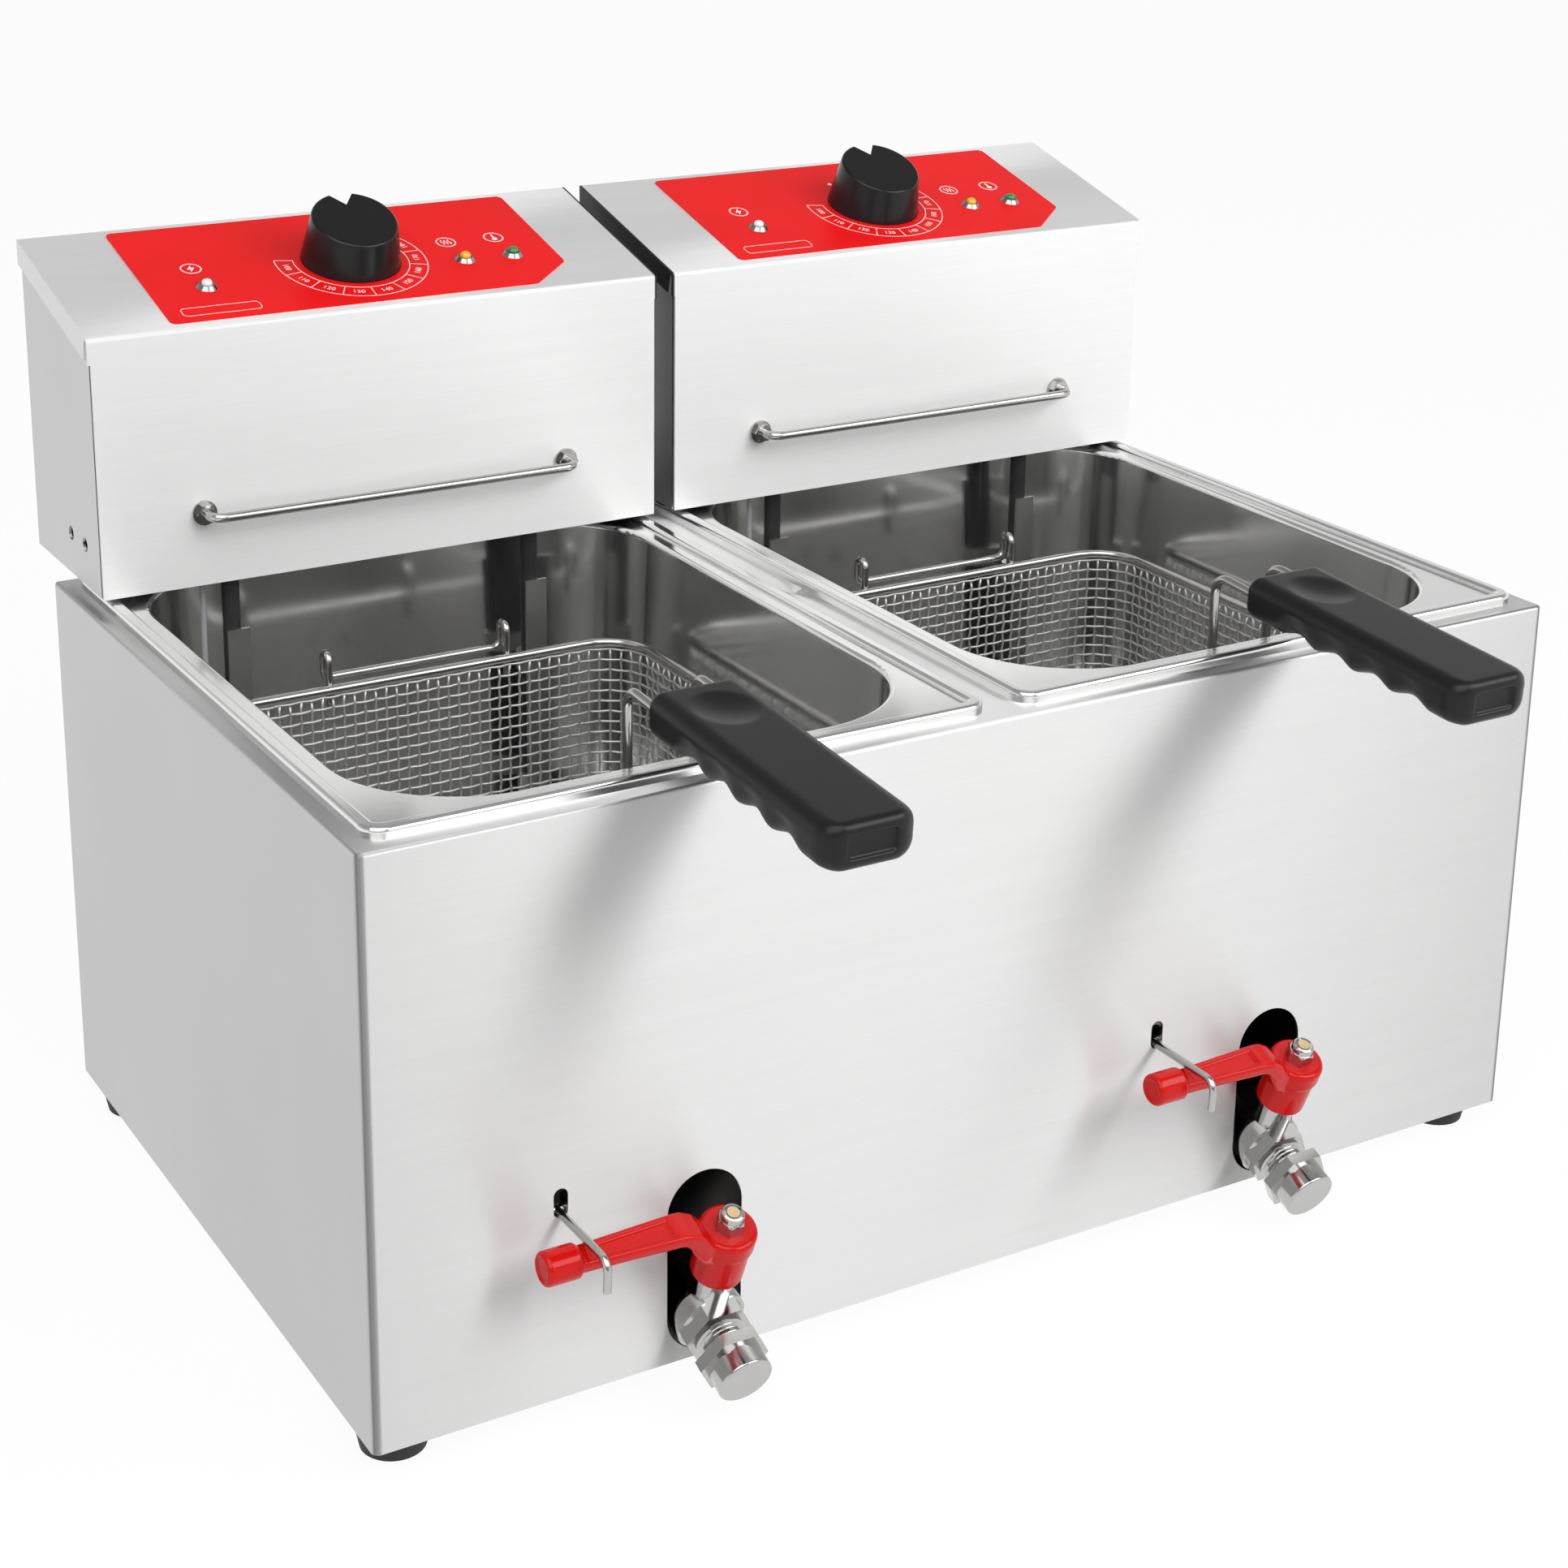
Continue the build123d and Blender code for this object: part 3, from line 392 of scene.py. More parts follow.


# Painted light: a lighter colour than the cabinet's steel, so that the head fronts come out brighter than the
# cabinet front
def head_steel():
    return sheet_steel("brushed_head_steel", settings("finishes").head, BRUSHED, rough=0.5, relief=0.25,
                       Metallic=0.5, Anisotropic=0.9)


def shell_steel():
    colour = [c * 0.9 for c in settings("finishes").head]
    return sheet_steel("brushed_shell_steel", colour, BRUSHED, rough=0.5, relief=0.25,
                       Metallic=1.0, Anisotropic=0.9)


def tank_steel():
    return sheet_steel("drawn_tank_steel", settings("finishes").tank, DRAWN, rough=0.15, relief=0.04,
                       Metallic=1.0, Anisotropic=0.2)


def with_painted_shade(sheet, name, mask_of):
    """A copy of a sheet's finish with painted shade: its base colour goes to near black where a mask, made
    from the place on the sheet, says.
    """
    material = bpy.data.materials.get(name)
    if material:
        return material
    material = sheet.copy()
    material.name = name
    tree = material.node_tree
    shader = tree.nodes["Principled BSDF"]
    place = tree.nodes.new("ShaderNodeSeparateXYZ")
    tree.links.new(tree.nodes.new("ShaderNodeTexCoord").outputs["Object"], place.inputs[0])
    across = math_node(tree, "ABSOLUTE", place.outputs["X"], 0)
    plain = shader.inputs["Base Color"].links[0].from_socket
    mix = tree.nodes.new("ShaderNodeMix")
    mix.data_type = "RGBA"
    tree.links.new(mask_of(tree, across, place.outputs["Y"]), mix.inputs["Factor"])
    tree.links.new(plain, mix.inputs["A"])
    # Painted shade: the base colour turns near black where the mask says
    mix.inputs["B"].default_value = PAINTED_SHADE
    tree.links.new(mix.outputs["Result"], shader.inputs["Base Color"])
    return material


def panel_steel_with_bend_shade():
    """The cabinet's sheet, with painted shade where it is bent round the front corners."""
    low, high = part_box("cabinet_shell")
    share = 0.62

    def bend_shade_mask(tree, across, along):
        # Painted shade: near black in a strip a few millimetres wide where the sheet is bent round the front
        # corners
        side = clipped(tree, across, high.x - 4 * MM, high.x - 1.5 * MM)
        front = clipped(tree, along, low.y + 2.2 * MM, low.y + 1 * MM)
        return math_node(tree, "MULTIPLY", math_node(tree, "MULTIPLY", side, front), share)

    return with_painted_shade(panel_steel(), "panel_steel_painted_bend_shade", bend_shade_mask)


def cover_steel():
    """The sheet of a head's cover, with painted shade on the side that faces the other head."""
    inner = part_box("right_head_cover")[0].x

    def gap_shade_mask(tree, across, along):
        # Painted shade: near black on the side of the cover that faces the gap between the heads
        return clipped(tree, across, inner + 1.4 * MM, inner + 0.6 * MM)

    return with_painted_shade(head_steel(), "head_steel_painted_gap_shade", gap_shade_mask)


def polished_metal(name, colour, rough, scale=60.0, metal=1.0):
    mark_spread = 0.015
    material, tree, shader = begin(name, Metallic=metal)
    if tree:
        touch = effect(tree, "handling", Scale=scale)
        tint(tree, shader, colour, touch.outputs["Cloud"], dark=0.92, light=1.05)
        clouds = ranged(tree, touch.outputs["Cloud"], rough - 0.04, rough + 0.05)
        marks = ranged(tree, touch.outputs["Marks"], -mark_spread, mark_spread)
        tree.links.new(math_node(tree, "ADD", clouds, marks), shader.inputs["Roughness"])
        bump(tree, shader, touch.outputs["Marks"], strength=0.03, distance=SKIN_RELIEF)
    return material


def bright_wire():
    return polished_metal("bright_wire", settings("finishes").wire, rough=0.2)


def mesh_wire():
    colour = [c * 1.06 for c in settings("finishes").wire]
    return polished_metal("woven_wire", colour, rough=0.28, scale=90.0, metal=0.6)


def plated_metal():
    return polished_metal("plated_brass_fittings", settings("finishes").plated, rough=0.13)


# Painted reflection: the bezels' chrome is darker than the plated fittings, standing in for the dark
# surroundings that it reflects
def bezel_chrome():
    return polished_metal("bezel_chrome", (0.36, 0.36, 0.355), rough=0.16)


def stem_brass():
    return polished_metal("stem_brass", (0.78, 0.6, 0.33), rough=0.25)


def heater_oxide():
    material, tree, shader = begin("heater_oxide", Metallic=0.7)
    if tree:
        touch = effect(tree, "handling", Scale=45.0)
        tint(tree, shader, (0.05, 0.05, 0.052), touch.outputs["Cloud"], dark=0.6, light=1.5)
        tree.links.new(ranged(tree, touch.outputs["Cloud"], 0.35, 0.55), shader.inputs["Roughness"])
        bump(tree, shader, touch.outputs["Marks"], strength=0.08, distance=SKIN_RELIEF)
    return material


def guard_steel():
    return polished_metal("guard_strip_steel", (0.42, 0.42, 0.41), rough=0.36)


def plastic(name, colour, rough, grain, relief, **sockets):
    """Moulded or painted skin. Grain is how fine it is, relief how strongly it shows."""
    material, tree, shader = begin(name, **sockets)
    if tree:
        skin = effect(tree, "moulded_skin", Scale=grain)
        tint(tree, shader, colour, skin.outputs["Cloud"], dark=0.88, light=1.12)
        gloss = ranged(tree, skin.outputs["Cloud"], rough - 0.04, rough + 0.05)
        tree.links.new(gloss, shader.inputs["Roughness"])
        bump(tree, shader, skin.outputs["Height"], strength=relief, distance=0.06 * MM)
    return material


def grip_plastic():
    return plastic("grip_black", settings("finishes").black, rough=0.34, grain=1700.0, relief=0.12,
                   Specular_IOR_Level=0.3)


def knob_plastic():
    return plastic("knob_black", settings("finishes").black, rough=0.22, grain=1900.0, relief=0.05,
                   Specular_IOR_Level=0.32)


def foot_rubber():
    return plastic("foot_rubber", (0.016, 0.016, 0.016), rough=0.68, grain=900.0, relief=0.25)


def housing_plastic():
    return plastic("housing_grey", (0.32, 0.32, 0.33), rough=0.5, grain=1200.0, relief=0.1)


def film_red():
    return plastic("control_film_red", settings("finishes").film, rough=0.36, grain=2400.0, relief=0.03,
                   Specular_IOR_Level=0.1)


def print_white():
    return plastic("print_white", (0.88, 0.87, 0.86), rough=0.45, grain=2400.0, relief=0.02)


def lever_paint():
    return plastic("lever_red_paint", settings("finishes").lever, rough=0.3, grain=420.0, relief=0.06,
                   Coat_Weight=0.4, Coat_Roughness=0.03, Specular_IOR_Level=0.04)


def lens_plastic(name, colour):
    return plastic(name, colour, rough=0.14, grain=900.0, relief=0.02, Coat_Weight=0.6, Coat_Roughness=0.05)


# Helpers

def settings(name):
    return getattr(bpy.context.scene, "fryer_" + name)


def dress(node, material):
    """Gives a CAD node its finish."""
    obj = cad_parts[node]
    obj.data.materials.clear()
    obj.data.materials.append(material)


def dress_sides(material, *names):
    for side in SIDES:
        for name in names:
            dress(side + "_" + name, material)


def make_mesh(name, vertices, faces, material, smooth=True):
    mesh = bpy.data.meshes.new(name)
    mesh.from_pydata([tuple(v) for v in vertices], [], faces)
    mesh.validate()
    if smooth:
        mesh.shade_smooth()
    mesh.materials.append(material)
    return mesh


def place_on_sides(name, mesh, body, replaced=()):
    """One object on each side, sharing a mesh that is made about x = 0."""
    for side in SIDES:
        obj = bpy.data.objects.new(side + "_" + name, mesh)
        obj.location.x = HEAD_X[side]
        bpy.context.scene.collection.objects.link(obj)
        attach(obj, side + "_" + body)
        if replaced:
            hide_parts(*[side + "_" + node for node in replaced])


def full_turn(count):
    """Angles that part a full turn evenly."""
    return [2 * math.pi * k / count for k in range(count)]


def quarter_turn(steps):
    """Angles from nought to a quarter turn, both ends included."""
    return [math.pi / 2 * k / steps for k in range(steps + 1)]


def circle(x, y, radius, count):
    """Points of a circle in x and y."""
    return [(x + radius * math.cos(turn), y + radius * math.sin(turn)) for turn in full_turn(count)]


class Solid:
    """Vertices and faces that grow as closed shapes are added."""

    def __init__(self):
        self.vertices = []
        self.faces = []

    def loops(self, rings, closed=False, caps=True):
        """Joins rings of like length into a closed skin."""
        first = len(self.vertices)
        count = len(rings[0])
        for ring in rings:
            self.vertices.extend(ring)
        pairs = len(rings) if closed else len(rings) - 1
        for step in range(pairs):
            a = first + step * count
            b = first + (step + 1) % len(rings) * count
            for turn in range(count):
                after = (turn + 1) % count
                self.faces.append((a + turn, a + after, b + after, b + turn))
        if caps and not closed:
            last = first + (len(rings) - 1) * count
            self.faces.append(tuple(reversed(range(first, first + count))))
            self.faces.append(tuple(range(last, last + count)))

    def tube(self, points, radius, sides, closed=False):
        """A round wire along points, with a frame that turns as little as it can."""
        rings = []
        count = len(points)
        side = None
        for step, point in enumerate(points):
            before = points[step - 1] if step or closed else point
            after = points[(step + 1) % count] if step < count - 1 or closed else point
            along = (after - before).normalized()
            if side is None:
                side = along.orthogonal().normalized()
            side = (side - along * side.dot(along)).normalized()
            other = along.cross(side)
            rings.append([point + radius * (math.cos(turn) * side + math.sin(turn) * other)
                          for turn in full_turn(sides)])
        self.loops(rings, closed=closed)

    def spun(self, profile, axis, across, origin, turns, closed=True):
        """Spins (radius, height) points about an axis, as a ring or, if not closed, with capped ends."""
        other = axis.cross(across)
        rings = [[origin + axis * height + radius * (math.cos(turn) * across + math.sin(turn) * other)
                  for turn in full_turn(turns)] for radius, height in profile]
        self.loops(rings, closed=closed)

    def slab(self, outline, thickness):
        """A flat outline in x and y, given as points, made into a thin plate upwards."""
        rings = [[Vector((x, y, level)) for x, y in outline] for level in (0, thickness)]
        self.loops(rings)

    def ribbon(self, points, width, thickness, closed=False):
        """A flat printed line along points in x and y."""
        count = len(points)
        rings = []
        for step, point in enumerate(points):
            before = points[step - 1] if step or closed else point
            after = points[(step + 1) % count] if step < count - 1 or closed else point
            along = (Vector(after) - Vector(before)).normalized()
            out = Vector((along.y, -along.x)) * width / 2
            left = Vector(point) - out
            right = Vector(point) + out
            rings.append([Vector((*left, 0)), Vector((*right, 0)), Vector((*right, thickness)),
                          Vector((*left, thickness))])
        self.loops(rings, closed=closed)

    def moved(self, matrix):
        self.vertices = [matrix @ v for v in self.vertices]
        return self


def slope_matrix():
    """From a head's sloping top, middle of its front edge, to the row frame at x = 0."""
    p = settings("panels")
    turn = Matrix.Rotation(p.slope, 4, "X")
    return Matrix.Translation((0, HEAD_FRONT, p.front_top)) @ turn


def tap_matrix():
    """From the tap's own frame, stem along z and outlet along -y, to the row frame at x = 0."""
    p = settings("taps")
    return Matrix.Translation((0, CABINET_FRONT, p.height)) @ Matrix.Rotation(p.tilt, 4, "X")


# Operators

class FRYER_OT_cabinet(bpy.types.Operator):
    """Finishes of the cabinet, tanks, heads and feet"""
    bl_idname = "fryer.cabinet"
    bl_label = "Cabinet and heads"

    def execute(self, context):
        # The cabinet's sheet has painted shade where it is bent round the front corners
        dress("cabinet_shell", panel_steel_with_bend_shade())
        for node in ("cabinet_back", "cabinet_floor", "head_rail", "hook_clips"):
            dress(node, panel_steel())
        dress("feet", foot_rubber())
        # The covers carry painted shade on the sides that face each other
        dress_sides(cover_steel(), "head_cover")
        dress_sides(shell_steel(), "head_shell")
        dress_sides(tank_steel(), "tank")
        dress_sides(foot_rubber(), "head_pads")
        dress_sides(housing_plastic(), "terminal_block", "thermostat")
        dress_sides(knob_plastic(), "cable_gland")
        dress_sides(bright_wire(), "hanger_bar")
        dress_sides(plated_metal(), "hanger_nuts")
        return {"FINISHED"}


class FRYER_OT_heaters(bpy.types.Operator):
    """Finishes of the heating elements and their guards"""
    bl_idname = "fryer.heaters"
    bl_label = "Heaters"

    def execute(self, context):
        dress_sides(heater_oxide(), "element")
        dress_sides(guard_steel(), "element_guard")
        return {"FINISHED"}


class FRYER_OT_baskets(bpy.types.Operator):
    """Woven bowls of the baskets and the finish of their wire frames"""
    bl_idname = "fryer.baskets"
    bl_label = "Baskets"

    def execute(self, context):
        dress_sides(bright_wire(), "basket_frame")
        mesh = make_mesh("basket_weave", *self.weave(settings("baskets")), mesh_wire())
        place_on_sides("basket_weave", mesh, "basket", ["basket_mesh"])
        return {"FINISHED"}

    def weave(self, p):
        low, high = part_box("left_basket_mesh")
        radius = p.wire / 2
        inset = p.wire
        half_x = (high.x - low.x) / 2 - inset
        half_y = (high.y - low.y) / 2 - inset
        centre_y = (high.y + low.y) / 2
        corner = p.corner - inset
        fold = p.fold - inset
        floor = low.z + inset
        wall = high.z - floor - fold
        across = self.spread(half_x - corner, p.pitch)
        along = self.spread(half_y - corner, p.pitch)
        quarter = math.pi / 2
        turns = max(2, round(quarter * corner / p.pitch))
        uprights = self.uprights(across, along, half_x - corner, half_y - corner, turns)

        # Rings of wire from the rim down, in pitches: the first a little below the rim
        length = wall + fold * quarter
        levels = round(length / p.pitch)
        top_gap, low_gap = 0.2, 0.3
        lift = 0.95 * radius

        def over(first, second):
            """Outwards where one wire crosses over the other, and inwards where it crosses under."""
            return lift if (first + second) % 2 else -lift

        def spot(upright, level, offset):
            """A point on the wall or fold, moved outwards by the offset."""
            foot, out = upright
            down = (level + top_gap) / (levels - low_gap) * length
            if down <= wall:
                reach = corner + offset
                height = floor + fold + wall - down
            else:
                tip = (down - wall) / fold
                reach = corner - fold + (fold + offset) * math.cos(tip)
                height = floor + fold - (fold + offset) * math.sin(tip)
            return Vector((foot[0] + out[0] * reach, centre_y + foot[1] + out[1] * reach, height))

        def wall_run(index):
            return [spot(uprights[index], level, -over(index, level)) for level in range(levels)]

        solid = Solid()
        for level in range(levels):
            ring = [spot(upright, level, over(k, level)) for k, upright in enumerate(uprights)]
            solid.tube(ring, radius, p.sides, closed=True)

        # Wires down one wall, over the floor and up the other, then the short ones of the corners
        nx, ny = len(across), len(along)
        right = nx + turns
        back = right + ny + turns
        left = back + nx + turns
        for k in range(nx):
            flat = [Vector((across[k], centre_y + y, floor + over(k, m))) for m, y in enumerate(along)]
            solid.tube(wall_run(k) + flat + wall_run(back + nx - 1 - k)[::-1], radius, p.sides)
        for k in range(ny):
            flat = [Vector((x, centre_y + along[k], floor - over(k, m))) for m, x in enumerate(across)]
            solid.tube(wall_run(left + ny - 1 - k) + flat + wall_run(right + k)[::-1], radius, p.sides)
        for start in (right - turns, back - turns, left - turns, left + ny):
            for k in range(turns):
                solid.tube(wall_run(start + k), radius, p.sides)
        return solid.vertices, solid.faces

    def spread(self, half, pitch):
        """Even places on both sides of the middle, about a pitch apart."""
        count = 2 * round(half / pitch)
        return [(k + 0.5) / count * 2 * half - half for k in range(count)]

    def uprights(self, across, along, half_x, half_y, turns):
        """Upright wires round the basket from the front left, each as a foot and a direction outwards."""
        walls = ([((x, -half_y), (0, -1)) for x in across],
                 [((half_x, y), (1, 0)) for y in along],
                 [((x, half_y), (0, 1)) for x in across[::-1]],
                 [((-half_x, y), (-1, 0)) for y in along[::-1]])
        corners = ((1, -1), (1, 1), (-1, 1), (-1, -1))
        found = []
        for number, (wall, (sx, sy)) in enumerate(zip(walls, corners)):
            found += wall
            for turn in range(turns):
                angle = (number - 1 + (turn + 0.5) / turns) * math.pi / 2
                found.append(((sx * half_x, sy * half_y), (math.cos(angle), math.sin(angle))))
        if len(found) % 2:
            raise RuntimeError("the weave needs an even number of upright wires")
        return found


class FRYER_OT_grips(bpy.types.Operator):
    """Moulded grips of the baskets, with thumb hollow and finger scallops"""
    bl_idname = "fryer.grips"
    bl_label = "Basket grips"

    def execute(self, context):
        mesh = make_mesh("basket_grip_moulding", *self.moulding(settings("grips")), grip_plastic())
        place_on_sides("basket_grip_moulding", mesh, "basket", ["basket_grip"])
        return {"FINISHED"}

    def moulding(self, p):
        """Sections along the grip: how far along, how much narrower and how much thinner."""
        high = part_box("left_basket_grip")[1]
        half = p.height / 2
        origin = Vector((0, high.y - half * math.sin(p.drop), high.z - half * math.cos(p.drop)))
        body_steps, end_steps = 96, 10
        start, end = p.edge, p.length - p.nose
        stations = [(p.edge * (1 - math.cos(t)), p.edge * (1 - math.sin(t)), p.edge * (1 - math.sin(t)))
                    for t in quarter_turn(end_steps)]
        stations += [(start + (end - start) * k / body_steps, 0, 0) for k in range(1, body_steps)]
        for t in quarter_turn(end_steps):
            u = end + p.nose * math.sin(t)
            into = max(0, u - p.length + p.edge) / p.edge
            thin = p.edge * (1 - math.sqrt(max(0, 1 - into * into)))
            stations.append((u, p.nose * (1 - math.cos(t)), thin))
        # A dished end face, as steps back and inwards in millimetres
        dish = ((0, 0.6), (0.25, 1), (0.9, 1.3), (1.5, 1.7), (1.6, 2.4))
        for back, more in dish:
            stations.append((p.length - back * MM, p.nose + more * MM, p.edge + more * MM))
        solid = Solid()
        solid.loops([self.section(p, origin, u, narrow, thin) for u, narrow, thin in stations])
        return solid.vertices, solid.faces

    def section(self, p, origin, u, narrow, thin):
        """The outline at one place along the grip, with its share of the scallops and the thumb hollow."""
        half_w = p.width / 2 - narrow
        half_h = p.height / 2
        least_round = 1 * MM
        top_round = max(6 * MM - thin, least_round)
        low_round = max(6.5 * MM - thin, least_round)
        scallops_from, scallop_power, waist_share = 20 * MM, 0.75, 0.35
        thumb_along, thumb_half_length, thumb_half_width, thumb_power = 24 * MM, 15 * MM, 13 * MM, 1.2
        top_band = 0.1 * MM
        arc_steps, top_steps, low_steps, side_steps = 7, 22, 14, 4
        quarter = math.pi / 2
        hollow = 0
        if scallops_from < u < scallops_from + p.scallops * p.scallop_pitch:
            wave = (u - scallops_from) / p.scallop_pitch
            hollow = p.scallop_depth * (0.5 - 0.5 * math.cos(2 * math.pi * wave)) ** scallop_power
        low = -half_h + hollow + thin
        high = half_h - thin
        low_w = half_w - waist_share * hollow
        outline = []

        def arc(cx, cz, radius, first):
            for turn in quarter_turn(arc_steps):
                outline.append((cx + radius * math.cos(first + turn), cz + radius * math.sin(first + turn)))

        def edge(x0, x1, z0, z1, count):
            for k in range(1, count):
                share = k / count
                outline.append((x0 + (x1 - x0) * share, z0 + (z1 - z0) * share))

        arc(half_w - top_round, high - top_round, top_round, 0)
        edge(half_w - top_round, -half_w + top_round, high, high, top_steps)
        arc(-half_w + top_round, high - top_round, top_round, quarter)
        edge(-half_w, -low_w, high - top_round, low + low_round, side_steps)
        arc(-low_w + low_round, low + low_round, low_round, 2 * quarter)
        edge(-low_w + low_round, low_w - low_round, low, low, low_steps)
        arc(low_w - low_round, low + low_round, low_round, 3 * quarter)
        edge(low_w, half_w, low + low_round, high - top_round, side_steps)
        ring = []
        for x, z in outline:
            if z > high - top_band and not narrow:
                away = math.hypot(x / thumb_half_width, (u - thumb_along) / thumb_half_length)
                if away < 1:
                    z -= p.thumb_depth * (1 - away * away) ** thumb_power
            ring.append(origin + Vector((x, -u * math.cos(p.drop) - z * math.sin(p.drop),
                                         -u * math.sin(p.drop) + z * math.cos(p.drop))))
        return ring


class FRYER_OT_controls(bpy.types.Operator):
    """Control films with their print, lamps and knobs"""
    bl_idname = "fryer.controls"
    bl_label = "Controls"

    def execute(self, context):
        dress_sides(film_red(), "control_film")
        dress_sides(knob_plastic(), "knob")
        dress_sides(plated_metal(), "knob_shaft")
        dress_sides(bezel_chrome(), "lamp_bezels")
        p = settings("panels")
        ink = make_mesh("control_print", *self.print_marks(p), print_white(), smooth=False)
        place_on_sides("control_print", ink, "head")
        self.lamps(p)
        return {"FINISHED"}

    def print_marks(self, p):
        """White print on the film: the knob's dial, a sign over each lamp and a bare outlined field."""
        thick = 0.05 * MM
        clear = 0.01 * MM
        solid = Solid()
        self.dial(solid, p, thick)
        left = -HEAD_WIDTH / 2
        sign_up = 52.8 * MM
        bold, fine = 1.5 * p.line, 0.8 * p.line
        for place, sign in ((64.7, self.bolt), (188.2, self.waves), (212.4, self.bulb)):
            centre = Vector((left + place * MM, sign_up))
            solid.ribbon(circle(centre.x, centre.y, p.sign, count=32), bold, thick, closed=True)
            sign(solid, centre, p.sign, bold, thick)
        field = self.rounded(
            x0=left + 46.7 * MM, x1=left + 82.5 * MM, y0=10 * MM, y1=17 * MM, radius=2.2 * MM)
        solid.ribbon(field, fine, thick, closed=True)
        solid.moved(slope_matrix() @ Matrix.Translation((0, 0, p.film_thickness + clear)))
        return solid.vertices, solid.faces

    def dial(self, solid, p, thick):
        """A band of cells round the knob, each with its number, and a dot where the knob is off."""
        first, last, off = math.radians(168), math.radians(390), math.radians(109)
        cells, arc_steps = 9, 72
        lowest, rise, size = 100, 10, 3.9 * MM
        dot_out, dot_radius = 2 * MM, 1.1 * MM

        def polar(radius, turn):
            return (p.knob_across + radius * math.cos(turn), p.knob_up + radius * math.sin(turn))

        def share(part):
            return first + (last - first) * part

        for radius in (p.dial_inner, p.dial_outer):
            solid.ribbon([polar(radius, share(k / arc_steps)) for k in range(arc_steps + 1)], p.line, thick)
        for k in range(cells + 1):
            turn = share(k / cells)
            solid.ribbon([polar(p.dial_inner, turn), polar(p.dial_outer, turn)], p.line, thick)
        for k in range(cells):
            turn = share((k + 0.5) / cells)
            place = polar((p.dial_inner + p.dial_outer) / 2, turn)
            self.lettering(solid, str(lowest + k * rise), place, turn + math.pi / 2, size, thick)
        solid.slab(circle(*polar(p.dial_inner + dot_out, off), dot_radius, count=16), thick)

    def rounded(self, x0, x1, y0, y1, radius):
        """A rectangle with round corners."""
        points = []
        centres = ((x1 - radius, y1 - radius), (x0 + radius, y1 - radius),
                   (x0 + radius, y0 + radius), (x1 - radius, y0 + radius))
        for number, (cx, cy) in enumerate(centres):
            for turn in quarter_turn(8):
                turn += number * math.pi / 2
                points.append((cx + radius * math.cos(turn), cy + radius * math.sin(turn)))
        return points

    def bolt(self, solid, centre, size, line, thick):
        outline = [(0.16, 0.68), (-0.4, -0.11), (-0.05, -0.11), (-0.19, -0.68), (0.4, 0.14), (0.05, 0.14)]
        solid.slab([(centre.x + x * size, centre.y + y * size) for x, y in outline], thick)

    def waves(self, solid, centre, size, line, thick):
        steps = 12
        for offset in (-0.38, 0, 0.38):
            solid.ribbon([(centre.x + (offset + 0.1 * math.sin(k / steps * 2 * math.pi)) * size,
                           centre.y + (k / steps - 0.5) * size) for k in range(steps + 1)], line, thick)

    def bulb(self, solid, centre, size, line, thick):
        radius, drop, rise = 0.3 * size, 0.34 * size, 0.66 * size
        solid.slab(circle(centre.x, centre.y - drop, radius, count=20), thick)
        solid.ribbon([(centre.x, centre.y - drop), (centre.x, centre.y + rise)], line * 1.6, thick)

    def lettering(self, solid, text, place, turn, size, thick):
        """Dial numbers, from Blender's own font, laid flat with their tops towards the middle."""
        curve = bpy.data.curves.new("dial_number", "FONT")
        curve.body = text
        curve.size = size
        curve.align_x = "CENTER"
        curve.align_y = "CENTER"
        curve.extrude = thick / 2
        curve.resolution_u = 3
        holder = bpy.data.objects.new("dial_number", curve)
        mesh = bpy.data.meshes.new_from_object(holder)
        spot = Matrix.Translation((*place, thick / 2)) @ Matrix.Rotation(turn, 4, "Z")
        first = len(solid.vertices)
        solid.vertices.extend(spot @ v.co for v in mesh.vertices)
        solid.faces.extend(tuple(first + i for i in face.vertices) for face in mesh.polygons)
        bpy.data.objects.remove(holder)
        bpy.data.curves.remove(curve)
        bpy.data.meshes.remove(mesh)

    def lamps(self, p):
        """Domed lenses, each with its place from the head's left side in millimetres."""
        lenses = (("clear", 65.5, (0.8, 0.8, 0.78)), ("amber", 189.7, (0.9, 0.45, 0.0)),
                  ("green", 213.8, (0.0, 0.24, 0.05)))
        up, radius, dome = 34.5 * MM, 2.5 * MM, 2 * MM
        foot, top = -6 * MM, p.film_thickness + 1.9 * MM
        profile = [(radius, foot), (radius, top)]
        profile += [(radius * math.cos(t), top + dome * math.sin(t)) for t in quarter_turn(7)[1:-1]]
        for name, place, colour in lenses:
            solid = Solid()
            centre = Vector((place * MM - HEAD_WIDTH / 2, up, 0))
            solid.spun(profile, UP, ACROSS, centre, turns=28, closed=False)
            solid.moved(slope_matrix())
            lens = lens_plastic("lens_" + name, colour)
            mesh = make_mesh("lamp_" + name, solid.vertices, solid.faces, lens)
            place_on_sides("lamp_" + name, mesh, "head", ["lamps"])


